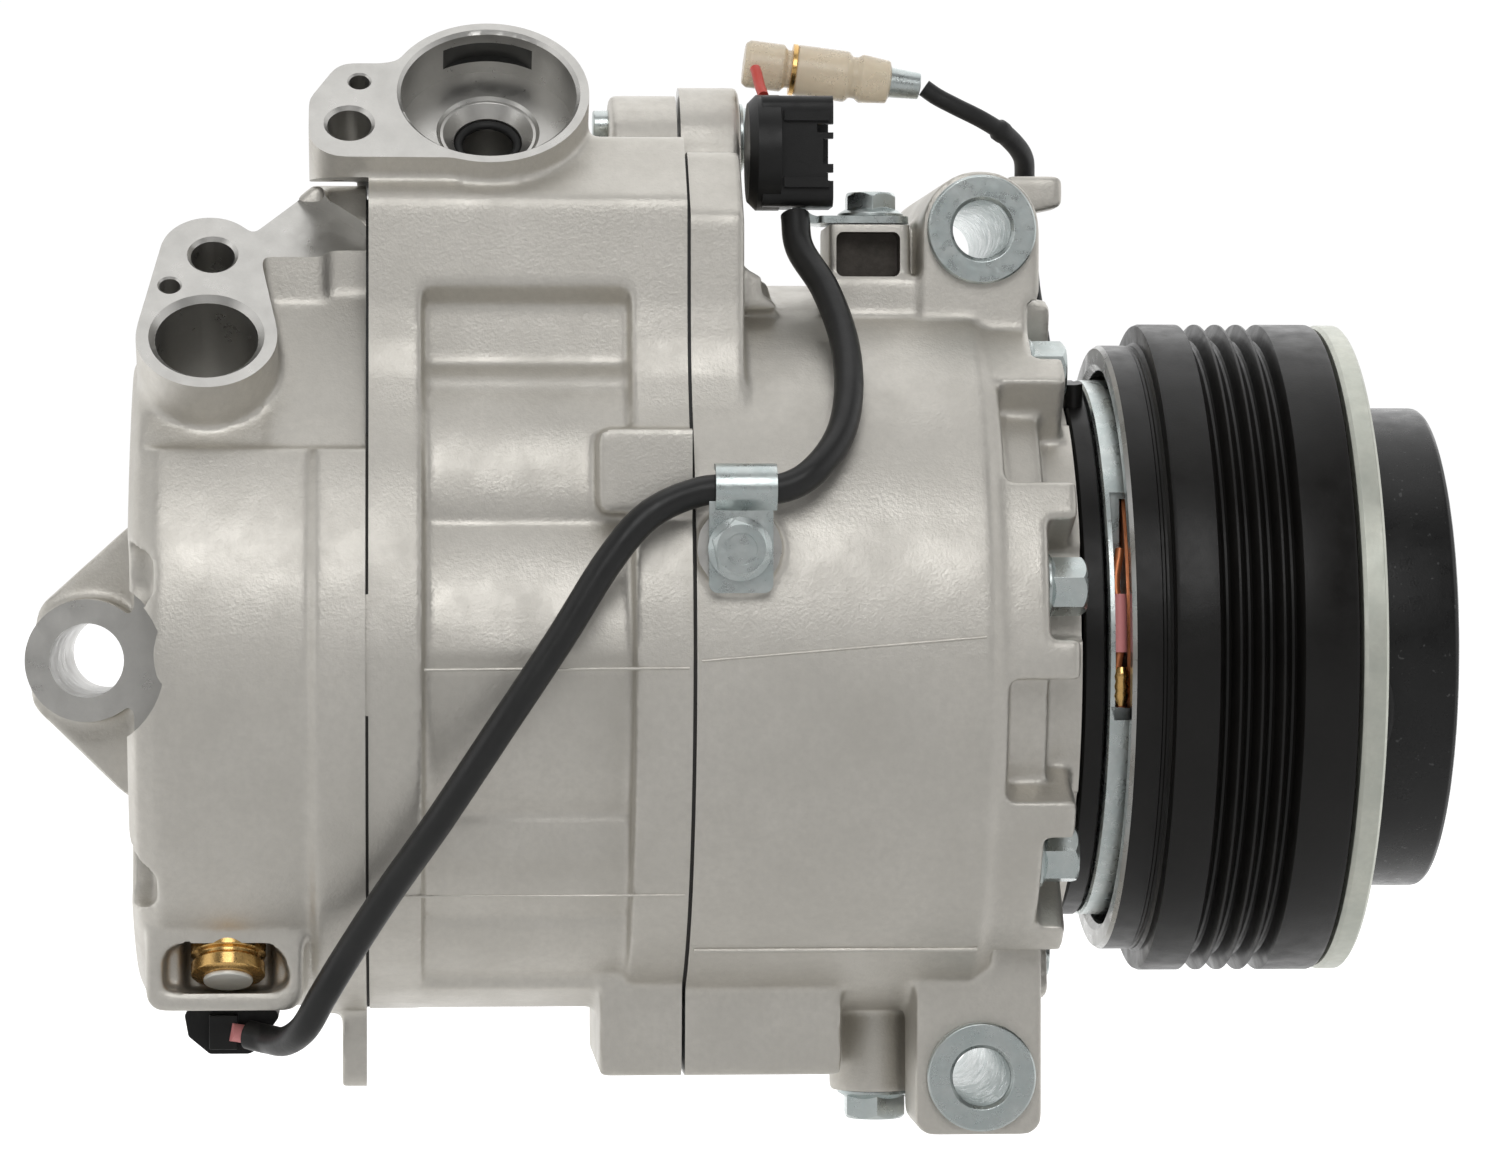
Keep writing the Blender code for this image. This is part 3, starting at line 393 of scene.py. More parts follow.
BLACK = surface("satin_black_paint", (0.006, 0.0055, 0.005), 0.36, 0.0, (0.012, 0.011, 0.010), 0.6, 12, 0.08,
                0.35, gloss_level=0.3)
CUP = surface("cup_black_paint", (0.012, 0.012, 0.012), 0.30, 0.0, (0.02, 0.02, 0.02), 0.6, 10, 0.10, 0.35,
              gloss_level=0.3, speck=((0.10, 0.10, 0.10), 1.3, 0.68, 0.6))
RUBBER = surface("black_rubber", (0.016, 0.016, 0.016), 0.5, 0.0, (0.03, 0.03, 0.03), 0.5, 8, 0.18, 0.4,
                 gloss_level=0.35)
SEAM = surface("seam", (0.05, 0.048, 0.045), 0.7, 0.0, mottle=0.5, mottle_mm=8, grain=0.1, gloss_level=0.2)
LEAD = surface("lead_sheath", (0.014, 0.014, 0.014), 0.38, 0.0, (0.024, 0.024, 0.023), 0.6, 7, 0.10, 0.6,
               gloss_level=0.4)
PLASTIC = surface("black_plastic", (0.010, 0.010, 0.010), 0.4, 0.0, (0.02, 0.02, 0.02), 0.5, 6, 0.10, 0.3,
                  gloss_level=0.3)
BRASS = surface("yellow_brass", (0.78, 0.50, 0.19), 0.26, 1.0, (0.55, 0.33, 0.12), 0.5, 3, 0.06, 0.4)
COPPER = surface("enamelled_copper", (0.62, 0.22, 0.09), 0.35, 0.6, (0.40, 0.14, 0.06), 0.6, 3, 0.10, 0.3)
CREAM = surface("cream_sleeve", (0.86, 0.76, 0.58), 0.30, 0.0, (0.80, 0.62, 0.45), 0.5, 6, 0.05, 0.5,
                transmission=0.35)
RED_WIRE = surface("red_wire", (0.62, 0.06, 0.04), 0.45, 0.0, mottle=0.3, mottle_mm=2, grain=0.05)
PINK_SLEEVE = surface("pink_sleeve", (0.80, 0.30, 0.30), 0.45, 0.0, mottle=0.3, mottle_mm=2, grain=0.05)


# ---------------------------------------------------------------- castings


def crown(top, low, high):
    return prism(
        rounded([
            (-30, 34), (-49.6, 35.2), (-47.0, 39.8), (-44.5, 44.9), (-43.0, 50.3), (-42.5, 56),
            (-42.5, top - 11, 3), (-31, top, 4), (15, top, 5), (30, top - 15, 5), (40, 44),
        ]), low, high,
    )


def recessed_crown(top, low, high):
    outline = rounded([
        (-38.8, 42), (-38.2, 56.5, 1), (-42.5, 59.5, 1), (-42.5, top - 11, 3), (-31, top, 4), (15, top, 5),
        (30, top - 15, 5), (40, 44),
    ])
    return prism(outline, low, high)


def bulge(centre, radius, start, end, points=20):
    angles = [math.radians(start + (end - start) * i / (points - 1)) for i in range(points)]
    return [(centre[0] - radius * math.cos(a), centre[1] + radius * math.sin(a)) for a in angles]


def flutes(side):
    """What is taken off one side of the block between its flanges, which leaves five lengthwise bands."""
    outline = [
        (-38.8, 56), (-42.0, 43.3), *bulge((-25.3, 24.3), 25, 48, -5), *bulge((-19.7, -1.9), 38, 37, 3.3),
        (-57.6, -0.6), (-56.9, -1.2), *bulge((-17.5, 1.8), 40, -5, -44.6),
        *bulge((-20.9, -21.6), 26.3, -12, -55), *bulge((-13.8, -29.8), 26.4, -35, -65),
        (-24.9, -54.2), (-23.6, -56.9), (-12, -60.0), (-1, -60.6), (-1, -75),
        (-75, -75), (-75, 56),
    ]
    return prism([(side * y, z) for y, z in outline], WINDOW_REAR, WINDOW_FRONT)


def lobe(top, low, high):
    return prism([(-15, 70), *arc((0, top - 12), 12, 180, 0), (15, 70)], low, high)


def foot(low, high, bottom=-70.6):
    return prism(rounded([(-26, -50), (-24, bottom, 2), (24, bottom, 2), (26, -50)]), low, high)


def upper_lug():
    root = UPPER_LUG_Z - 22.3
    outline = [(-9.8, root), *arc((0, UPPER_LUG_Z), 9.8, 180, 0), (9.8, root)]
    return prism(outline, -LUG_REAR_Y - 2, -LUG_FRONT_Y, ALONG_Y)


def lower_lug(left, low, high):
    return prism(rounded([(left, -48), (left, -80.2, 3), (10.2, -80.2, 3), (10.2, -48)]), low, high, ALONG_Y)


def bolt_holes(low, high):
    ends = [(around(BOLT_CIRCLE_R, a, low), around(BOLT_CIRCLE_R, a, high)) for a in BOLT_ANGLES]
    return [rod(*pair, BOLT_HOLE_R, 24) for pair in ends]


def half_space(axis, at, sign):
    """A large block that removes everything past a plane."""
    low, high = [-200.0] * 3, [200.0] * 3
    if sign > 0:
        low[axis] = at
    else:
        high[axis] = at
    return box(low, high)


def barrel_ridges(name, radius, body, parts):
    """Thin parting lines and ledges on a casting: each is a run of (x, angle) points."""
    for i, (run, thick) in enumerate(parts):
        points = []
        for (x0, a0), (x1, a1) in zip(run, run[1:]):
            steps = max(2, int(max(abs(x1 - x0) / 4, abs(a1 - a0) / 2)))
            parts_done = [k / steps for k in range(steps)]
            points += [around(radius, a0 + (a1 - a0) * t, x0 + (x1 - x0) * t) for t in parts_done]
        points.append(around(radius, run[-1][1], run[-1][0]))
        show(tube(points, thick, 8), f"{name}_{i + 1}", body, CAST)


def front_housing():
    base = turned([
        (HOUSING_REAR - 2, BARREL_R), (HOUSING_REAR - 2, 0), (16.6, 0), (16.6, 46.6), (8.6, 46.6), (8.6, 52.5),
        (1.8, 52.9), (1.4, 59.4), (0.9, 60.0), (-0.4, 60.4), (-1.4, BARREL_R),
    ])
    add = [
        crown(82, HOUSING_REAR - 2, -40), lobe(95, HOUSING_REAR - 2, -38.6), foot(HOUSING_REAR - 2, -22.8),
        prism([(-42, 56), (-42, 67), (-39, 62.8), (-35, 60.6), (-34, 56)], -6, 32, ALONG_Y),
        upper_lug(), lower_lug(-10.8, 8, -LUG_FRONT_Y), lower_lug(-8.4, -LUG_REAR_Y - 2, 8.5),
        prism(rounded([(-25, 55), (-25, 71.4, 1), (-11.5, 71.4, 1), (-11.5, 55)]), 6, 26, ALONG_Y),
        prism([(-26, 52), (-26, 61.6), (-9, 61.6), (-9, 52)], 4, 27, ALONG_Y),
        prism([(-13, 55), (-13, 69), (-9, 72.6), (-3, 77.6), (0, 77.6), (0, 55)], -28, 17, ALONG_Y),
        rod((-15.2, 0, -55), (-15.2, 0, -75.6), 7.7),
        prism(rounded([(6, 66), (6, 79.6, 1), (15.6, 79.6, 1), (15.6, 74.4, 1), (9.6, 73.2), (9.4, 66)]),
              3, 11, ALONG_Y),
        rod((-42.1, -50, 17), (-42.1, -62.6, 17), 6.9),
    ]
    add += [sector(-3, 12.8, 42, 60.0, angle, 15.9) for angle in BOLT_ANGLES]
    soft_cut = [sector(7.9, 20, 45.2, 64, angle, 9.6) for angle in BOLT_ANGLES]
    notch = rounded([(-36.5, 57.6, 2), (-36.5, 66), (-27, 66), (-27, 57.6, 2)])
    soft_cut.append(prism(notch, 24.5, 34, ALONG_Y))
    hard_cut = [
        half_space(0, HOUSING_REAR, -1),
        *(box((-14, LUG_REAR_Y, z - 14), (14, LUG_REAR_Y + 6, z + 14)) for z in (UPPER_LUG_Z, LOWER_LUG_Z)),
        turned([(-4, 0), (-4, 48.4), (HOUSING_REAR - 1, 48.4), (HOUSING_REAR - 1, 0)]),
        box((-25.5, -30, 70.4), (-10.8, -5, 75)), box((-24, -8, -78), (-6, 8, -75)),
        rod((-42.1, -64, 17), (-42.1, -61.8, 17), 9),
        turned([(14.6, 19.3), (20, 19.3), (20, 46.8), (14.6, 46.8)]),
        turned([(20, 0), (20, 17), (-5, 15.2), (-5, 0)]),
    ]
    hard_cut += [
        rod((0, LUG_FRONT_Y - 5, z), (0, LUG_REAR_Y + 5, z), 6.9) for z in (UPPER_LUG_Z, LOWER_LUG_Z)
    ]
    hard_cut += bolt_holes(HOUSING_REAR - 1, 9) + [
        rod((-17.4, -17, 73), (-17.4, -17, 58), 2.9, 24), rod((-42.1, -65, 17), (-42.1, -52, 17), 2.6, 24),
        rod((-15.2, 0, -78), (-15.2, 0, -62), 4.0, 24),
    ]
    # The bracket pocket's faces take the third slot, painted shade for the shadow inside it.
    pocket = rounded([(-23.8, 61.8, 1.2), (-23.8, 69.2, 1.2), (-13.2, 69.2, 1.2), (-13.2, 61.8, 1.2)])
    hard_cut += marked([prism(pocket, 20.4, 30, ALONG_Y)], 2)
    show(cast(base, add, soft_cut, hard_cut), "front_casting", "casing", [CAST, MACHINED, CAST_PAINTED_SHADE],
         replaces=["front_housing"])
    nose = turned([
        (56.6, 16.6), (56.0, 17.2), (54.4, 17.2), (54.4, 16.2), (53.0, 16.2), (53.0, 17.2), (32.7, 17.2),
        (32.7, 19.4), (20.4, 19.4), (20.4, 18.4), (19.0, 18.4), (19.0, 19.4), (14.0, 19.4), (-3.9, 17.4),
        (-3.9, 15.2), (13.2, 15.2), (13.2, 11.5), (17.2, 11.5), (17.2, 14.9), (56.6, 14.9),
    ])
    show(nose, "nose", "casing", NOSE, 0.15)
    barrel_ridges("housing_line", BARREL_R + 0.05, "casing", [
        ([(-48, -0.9), (-2.6, 2.6)], 0.2), ([(-48, -52.5), (-1.6, -52.5)], 0.45),
    ])


def cylinder_block():
    base = turned([
        (BLOCK_FRONT + 2, BLOCK_R), (BLOCK_REAR - 2, BLOCK_R), (BLOCK_REAR - 2, 0), (BLOCK_FRONT + 2, 0),
    ])
    combine(base, "DIFFERENCE", [flutes(1), flutes(-1)])
    back = -PORT_NORMAL
    ear = rounded([
        (0, -15.4), (-29.3, -15.3, 6), (-29.3, -2, 5), (-24.5, 6.7, 4), (-17.5, 6.7, 3), (-12, 8), (0, 8),
    ])
    crown_top = 84.5
    add = [
        crown(crown_top, BLOCK_REAR - 2, WINDOW_REAR),
        recessed_crown(crown_top, WINDOW_REAR - 1, WINDOW_FRONT + 1),
        crown(crown_top, WINDOW_FRONT, BLOCK_FRONT + 2), lobe(93.6, WINDOW_FRONT - 2, BLOCK_FRONT + 2),
        foot(-62.9, BLOCK_FRONT + 2),
        rod(SUCTION_AT - back * 1.4, SUCTION_AT + back * 40, 16.5),
        prism(ear, -13, 1.4, ALONG_PORT, SUCTION_AT),
        prism(rounded([(-64.4, 22.5, 2), (-64.4, 36, 2), (BLOCK_FRONT + 2, 36), (BLOCK_FRONT + 2, 22.5)]),
              40, 57.8, ALONG_Y),
    ]
    mouth_r, step, throat_r = 14.4, SUCTION_AT + back * 9, 8.0
    hard_cut = [
        half_space(0, BLOCK_FRONT, 1), prism([(-60, -70), (60, -70), (60, 77), (-60, 77)], -120, BLOCK_REAR),
        rod(SUCTION_AT - back * 6, SUCTION_AT, 40),
        rod(SUCTION_AT - back, step, mouth_r, 96),
        *port_holes(SUCTION_AT, SUCTION_SCREW, 12, SUCTION_PIN),
        rod((BLOCK_REAR - 3, 0, 0), (BLOCK_FRONT + 3, 0, 0), 10.2, 32),
        rod(SUCTION_AT, SUCTION_AT + back * 30, throat_r, 64),
        chamfer(SUCTION_AT, PORT_NORMAL, mouth_r, 0.6, 96), chamfer(step, PORT_NORMAL, throat_r, 0.5, 64),
        *port_chamfers(SUCTION_AT, SUCTION_SCREW, SUCTION_PIN),
    ]
    # The groove inside the suction port takes the third slot, painted shade.
    slot = rod(port_point(SUCTION_AT, 0, 6.2, -2.4), port_point(SUCTION_AT, 0, 6.2, -6.6), 9.6, 96)
    hard_cut += marked([slot], 2)
    hard_cut += bolt_holes(BLOCK_REAR - 1, BLOCK_FRONT + 1)
    for i in range(CYLINDERS):
        angle = FIRST_CYLINDER + i * 360 / CYLINDERS
        ends = [around(CYLINDER_CIRCLE_R, angle, x) for x in (BLOCK_REAR - 1, BLOCK_FRONT + 1)]
        hard_cut.append(rod(*ends, CYLINDER_R))
    show(cast(base, add, [], hard_cut), "block_casting", "casing", [CAST, MACHINED, PORT_PAINTED_SHADE],
         replaces=["cylinder_block"])
    barrel_ridges("block_line", BLOCK_R, "casing", [
        ([(-92, -2.2), (-50, -2.0)], 0.25), ([(-100, -40), (-50, -40)], 0.2),
    ])


def port_point(centre, along, up, out=0.0):
    return centre + Vector((along, 0, 0)) + PORT_UP * up + PORT_NORMAL * out


def chamfer(at, out, radius, size, steps=32):
    """A cutter that breaks the edge of a hole whose mouth is at the given point."""
    return turned([(0.5, 0), (0.5, radius + size + 0.5), (-size, radius), (-size, 0)], steps, aim(out), at)


def port_holes(centre, screw, screw_deep, pin):
    """The threaded hole and the locating hole beside a port."""
    return [
        rod(port_point(centre, *screw, 1), port_point(centre, *screw, -screw_deep), SCREW_HOLE_R, 32),
        rod(port_point(centre, *pin, 1), port_point(centre, *pin, -6), PIN_HOLE_R, 24),
    ]


def port_chamfers(centre, screw, pin):
    return [
        chamfer(port_point(centre, *screw), PORT_NORMAL, SCREW_HOLE_R, 0.6),
        chamfer(port_point(centre, *pin), PORT_NORMAL, PIN_HOLE_R, 0.3),
    ]


def pear(big, small, distance):
    lean = math.degrees(math.asin((big - small) / distance))
    return arc((0, 0), big, 180 - lean, 360 + lean, 32) + arc((0, distance), small, lean, 180 - lean, 20)


def rear_head():
    base = turned([
        (HEAD_FRONT + 2, HEAD_R), (-109.4, HEAD_R), (-110.2, 60.2), (-134.4, 60.2), (-137.8, 58.6),
        (HEAD_REAR, 55.5), (HEAD_REAR, 0), (HEAD_FRONT + 2, 0),
    ])
    above_ledge = [(-75, 33), (-48.6, 33), (-33, 58), (-33, 75), (-75, 75)]
    combine(base, "DIFFERENCE", [prism(above_ledge, HEAD_REAR - 1, HEAD_FRONT + 3)])
    back = -PORT_NORMAL
    head_crown = rounded([
        (-49, 33), (-33, 58.4, 1), (-33, 70, 3), (-27, 76.5, 3), (13, 76.5, 5), (27, 64, 5), (38, 44),
    ])
    web = rounded([
        (-128, 30), (-141, 20.2), (-155.4, 7.2, 5), (-157, -1.5), (-156.6, -9, 5), (-142.7, -22.6), (-128, -34),
    ])
    add = [
        prism(web, -26, 18, ALONG_Y),
        rod((REAR_LUG_X, LUG_FRONT_Y - 2, REAR_LUG_Z), (REAR_LUG_X, LUG_REAR_Y + 2, REAR_LUG_Z), 10.1),
        prism(head_crown, -110.6, HEAD_FRONT + 2),
        prism([(-49, 33), (-33, 58.4), (-20, 58.4), (-20, 33)], -117, -108),
        prism([(-120, 40), (-120, 68), (-110, 76), (-108, 76), (-108, 40)], 4, 34, ALONG_Y),
        prism(pear(11.4, 8.0, 19.0), -40, 1.4, ALONG_PORT, DISCHARGE_AT),
        prism(rounded([(-14, -50), (-12, -73.2, 2), (12, -73.2, 2), (14, -50)]), -105.4, HEAD_FRONT + 2),
        prism(rounded([(-136.9, -35), (-136.9, -58, 3), (-111.6, -58, 3), (-110.8, -40)]), 0, 40, ALONG_Y),
    ]
    soft_cut = [
        prism(rounded([(-134, -54.6, 1), (-134, -47.2, 3), (-115, -47.2, 4), (-113.2, -54.6, 2)]),
              34, 55, ALONG_Y),
        box((-131, -39.6, -55.6), (-116.5, -28.5, -42.6)),
    ]
    soft_cut += [rod(around(54, a, -145), around(54, a, -134.8), 6.4, 32) for a in BOLT_ANGLES]
    bore_r = 8.3
    hard_cut = [
        half_space(0, HEAD_FRONT, 1),
        box((REAR_LUG_X - 12, LUG_REAR_Y, REAR_LUG_Z - 12), (HEAD_REAR - 0.3, LUG_REAR_Y + 6, REAR_LUG_Z + 12)),
        rod((REAR_LUG_X, -60, REAR_LUG_Z), (REAR_LUG_X, LUG_FRONT_Y, REAR_LUG_Z), 14),
        rod(DISCHARGE_AT - back * 6, DISCHARGE_AT, 34),
        turned([(HEAD_FRONT + 1, 48.2), (-104.8, 48.2), (-104.8, 0), (HEAD_FRONT + 1, 0)]),
        rod((REAR_LUG_X, LUG_FRONT_Y - 5, REAR_LUG_Z), (REAR_LUG_X, LUG_REAR_Y + 5, REAR_LUG_Z), 6.1),
        rod(DISCHARGE_AT - back, DISCHARGE_AT + back * 24, bore_r),
        *port_holes(DISCHARGE_AT, DISCHARGE_SCREW, 14, DISCHARGE_PIN),
        rod((VALVE_X, -28, VALVE_Z), (VALVE_X, -3.2, VALVE_Z), 5.9),
        rod((VALVE_X, -12, -62), (VALVE_X, -12, VALVE_Z), 4.4),
        chamfer(DISCHARGE_AT, PORT_NORMAL, bore_r, 1.0, 96),
        *port_chamfers(DISCHARGE_AT, DISCHARGE_SCREW, DISCHARGE_PIN),
    ]
    hard_cut += bolt_holes(-137, HEAD_FRONT + 1)
    show(cast(base, add, soft_cut, hard_cut), "head_casting", "casing", [CAST, MACHINED], replaces=["rear_head"])


# ---------------------------------------------------------------- fasteners


def hexagon(at, direction, across, high, turn=0.0):
    """A hexagon head standing out along direction, its outer corners chamfered."""
    at, direction = Vector(at), Vector(direction).normalized()
    corner = across / math.cos(math.pi / 6)
    head = rod(at, at + direction * high, corner, 6, turn=turn)
    cone = turned([
        (high + 0.01, 0), (high + 0.01, across * 0.95), (high - 0.9, corner + 0.1), (-1, corner + 0.1), (-1, 0),
    ], 48, aim(direction), at)
    return combine(head, "INTERSECT", [cone])


def bolt(name, node, at, direction, across, high, flange_r, flange_high=1.2, turn=0.0, cross=False):
    """A flanged hexagon bolt head; across is half the width across its flats."""
    at, direction = Vector(at), Vector(direction).normalized()
    head = hexagon(at + direction * flange_high * 0.6, direction, across, high - flange_high * 0.6, turn=turn)
    flange = turned([
        (flange_high, 0), (flange_high, across), (flange_high * 0.35, flange_r), (0, flange_r), (0, 0),
    ], 64, aim(direction), at)
    combine(head, "UNION", [flange])
    top = at + direction * high
    dish_r = across * 0.62
    cuts = [rod(top - direction * 0.5, top + direction, dish_r, 32)]
    if cross:
        side = direction.orthogonal().normalized()
        slot_at = top - direction * 1.2
        ways = [way * dish_r for way in (side, direction.cross(side))]
        cuts += [rod(slot_at - way, slot_at + way, 0.6, 4) for way in ways]
    combine(head, "DIFFERENCE", cuts)
    return show(head, name, "casing", ZINC, 0.12, [node] if node else ())


def fasteners():
    for i, angle in enumerate(BOLT_ANGLES):
        node = f"through_bolt_{i + 1}"
        bolt(f"{node}_head", node, around(BOLT_CIRCLE_R, angle, 8.1), (1, 0, 0), 4.2, 6.4, 5.3, turn=angle)
        shank = rod(around(BOLT_CIRCLE_R, angle, -134.0), around(BOLT_CIRCLE_R, angle, 8.3), BOLT_R, 24)
        show(shank, f"{node}_shank", "casing", ZINC, 0.4)
    bolt("bracket_bolt_head", "bracket_bolt", (-17.4, -17, 72.1), (0, 0, 1), 4.0, 4.1, 5.5, 1.5)
    bolt("oil_plug_head", "oil_plug", (-15.2, 0, -75.2), (0, 0, -1), 4.9, 4.8, 6.3, 1.3)
    clip_head_at = CLIP_SCREW_AT + Vector((0, -1.8, 0))
    bolt("clip_screw_head", "clip_screw", clip_head_at, (0, -1, 0), 4.1, 3.4, 5.1, 0.8, turn=12, cross=True)
    bolt("lobe_bolt_head", None, (-38.3, 0, 86.5), (1, 0, 0), 4.4, 4.4, 5.8)
    show(rod((-60.2, 0, 88.5), (-63.2, 0, 88.5), 2.6, 24), "lobe_bolt_end", "casing", ZINC, 0.4)
    for name, z in (("front_upper_bushing", UPPER_LUG_Z), ("front_lower_bushing", LOWER_LUG_Z)):
        ring = turned([(30.2, 8.7), (29.9, 9.0), (28.3, 9.0), (28.3, 6.6), (-38, 6.6), (-38, 4.9), (29.6, 4.8),
                       (30.2, 5.4)], 96, ALONG_Y, (0, 0, z))
        show(ring, f"{name}_ring", "casing", ZINC, 0.1, [name])


# ---------------------------------------------------------------- clutch


def pulley():
    outer = [(58.7, 54.3), (58.5, 54.8), (58.0, PULLEY_R)]
    half_groove = [(1.62, PULLEY_R), (1.48, 54.85), (0.55, 52.4), (0.2, GROOVE_ROOT_R)]
    for i in reversed(range(GROOVES)):
        x = FIRST_GROOVE_X + i * GROOVE_PITCH
        outer += [(x + along, r) for along, r in half_groove]
        outer += [(x - along, r) for along, r in reversed(half_groove)]
    outer += [
        (29.6, PULLEY_R), (29.0, 54.75), (28.8, 54.2), (28.8, 51.9), (28.3, 51.4), (27.9, 51.4), (27.7, 51.15),
        (27.3, 51.15), (27.1, 51.4), (22.9, 51.4), (22.2, 50.9), (22.2, 48.2),
    ]
    inner = [(23.0, 47.2), (53.0, 47.2), (53.0, 32.6), (32.5, 32.6), (32.5, 26.2), (53.0, 26.2), (53.0, 24.8),
             (58.7, 24.8)]
    body = turned(outer + inner, 192)
    for _ in range(2):
        body.data.materials.append(None)
    for face in body.data.polygons:
        x, y, z = [v / MM for v in face.center]
        bare = x < 22.95 or math.hypot(y, z) < 47.5
        face.material_index = 1 if bare else 0
    show(body, "pulley_rim", "pulley_body", [BLACK, TURNED_STEEL], 0.0, ["pulley"], 25)


def armature_and_hub():
    plate = turned([(63.4, 28), (63.4, 54.3), (62.9, 54.9), (60.0, 54.9), (59.3, 54.4), (59.3, 28)], 192)
    show(plate, "armature_disc", "armature", PLATE, 0.1, ["armature_plate"])
    cup = turned([
        (77.8, 14.0), (77.8, 39.2), (77.5, 40.2), (76.9, 40.7), (76.2, 40.8), (65.0, 40.8), (64.6, 40.4),
        (64.6, 38.2), (75.3, 38.2), (75.3, 14.0),
    ], 160)
    show(cup, "cup_shell", "shaft", CUP, 0.2, ["damper_cup"])
    show(turned([(75.0, 25.2), (74.4, 24.6), (66.4, 24.6), (66.4, 37.9), (74.4, 37.9), (75.0, 37.3)], 96),
         "cup_rubber", "shaft", RUBBER, 0.3, ["damper_rubber"])
    boss = turned([
        (73.5, 24.0), (73.2, 24.2), (65.4, 24.2), (65.4, 11.5), (42, 11.5), (42, 8.5), (58.6, 8.5), (58.6, 3.4),
        (64.2, 3.4), (64.2, 9.4), (73.5, 9.4),
    ], 96)
    show(boss, "hub_forging", "shaft", STEEL, 0.2, ["hub_boss"])
    head = bolt("hub_bolt_head", None, (64.6, 0, 0), (1, 0, 0), 5.0, 5.8, 7.0)
    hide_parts("hub_bolt")
    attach(head, "shaft")
    swell = [math.sin(math.pi * k / 24) for k in range(25)]
    lip = []
    for k in range(25):
        turn = -24 + k * 1.1
        lip.append(around(40.2, turn - 4, 64.3 + 1.7 * swell[k]))
    show(tube(lip, [0.35 + 0.9 * s for s in swell], 12), "rubber_flash", "shaft", RUBBER)


def coil():
    plate = turned([(18.6, 19.8), (18.6, 45.0), (18.2, 45.5), (15.4, 45.5), (15.0, 45.1), (15.0, 19.8)])
    lead_tab, pin = box((15.3, 22.6, 34), (18.3, 28.4, 43.3)), rod((16.4, -19.6, 40), (16.2, -20.6, 44.4), 1.6)
    combine(plate, "UNION", [lead_tab, pin])
    show(plate, "coil_back_plate", "casing", BLACK, 0.15, ["coil_mount_plate"])
    yoke = turned([
        (50, 45.5), (19.4, 45.5), (19.0, 45.1), (19.0, 34), (50, 34), (50, 35.8), (22, 35.8), (22, 43.8),
        (50, 43.8),
    ])
    combine(yoke, "DIFFERENCE", [box((20.2, -50, -11), (32, -36, 26))])
    show(yoke, "coil_shell", "casing", ZINC, 0.15, ["coil_yoke"])
    wound = [(47, 36.2), (47, 43.0)]
    for k in range(40):
        x = 46.6 - k * 0.6
        wound += [(x, 43.4), (x - 0.3, 43.05)]
    wound += [(22.4, 43.0), (22.4, 36.2)]
    show(turned(wound, 96), "coil_turns", "casing", COPPER, 0.0, ["coil_winding"])


def lead_out():
    """The coil's lead-out wire in the shell's window: sleeve, bare wire and its joint."""
    wire = [around(44.6, a, 20.9 + 0.5 * math.sin(a / 3)) for a in range(22, -13, -2)]
    show(tube(wire, 0.75, 12), "lead_out_wire", "casing", COPPER)
    sleeve = [around(44.7, a, 21.0) for a in range(12, -2, -2)]
    show(tube(sleeve, 1.15, 16), "lead_out_sleeve", "casing", PINK_SLEEVE)
    joint = [around(44.9, a, 21.2) for a in range(-3, -12, -1)]
    show(tube(joint, [0.9, 1.2, 1.4, 1.2, 1.4, 1.2, 1.4, 1.1, 0.8], 12), "lead_out_joint", "casing", BRASS)


# ---------------------------------------------------------------- leads and plugs


VALVE_LEAD_ROUTE = [
    (-30.5, -24, 72.0), (-29.9, -27, 66.3), (-26.2, -33, 59.4), (-23.8, -40.5, 51.0), (-23.6, -48.5, 42.6),
    (-25.5, -55, 35.2), (-29.8, -59.8, 29.5), (-34.8, -61.3, 26.6), (-41.5, -61.4, 26.2), (-48.4, -61.8, 25.9),
    (-56.4, -63.4, 22.3), (-62.8, -64.3, 15.1), (-70.8, -64.8, 2.4), (-80.3, -64.6, -11.9), (-89.8, -60.8, -26.4),
    (-97.8, -54.4, -38.1), (-104.4, -48.5, -48.6), (-108.2, -46.5, -55.0), (-111.2, -43.0, -60.4),
    (-114.4, -36.0, -63.2), (-117.4, -30.4, -63.4), (-120.6, -28.4, -62.8),
]
COIL_LEAD_ROUTE = [
    (-7.2, -5, 94.8), (-5.0, -5, 93.3), (-1.7, -5, 91.6), (3.0, -4, 89.4), (7.3, -1, 87.0), (10.6, 4, 84.0),
    (11.5, 8.5, 80.4), (12.3, 13.5, 75.4), (13.0, 18, 70.5), (13.8, 22.5, 65.4), (14.8, 26, 60.6),
    (16.2, 27.6, 54.6), (16.9, 26.8, 48.6), (17.0, 25.6, 44.2),
]


def leads():
    sheath = tube(smooth_route(VALVE_LEAD_ROUTE, 220), 2.4, 28)
    show(sheath, "valve_lead_sheath", "casing", LEAD, 0, ["valve_lead"])
    core = [(-120.4, -28.5, -62.9), (-121.8, -28.8, -62.6), (-123.4, -29.4, -62.3)]
    show(tube(core, 1.5, 16), "valve_lead_core", "casing", PINK_SLEEVE)
    coil_points = smooth_route(COIL_LEAD_ROUTE, 120)
    radii = [1.5 if i < 33 else 1.9 if i < 36 else 1.75 for i in range(120)]
    show(tube(coil_points, radii, 24), "coil_lead_sheath", "casing", RUBBER, 0, ["coil_lead"])


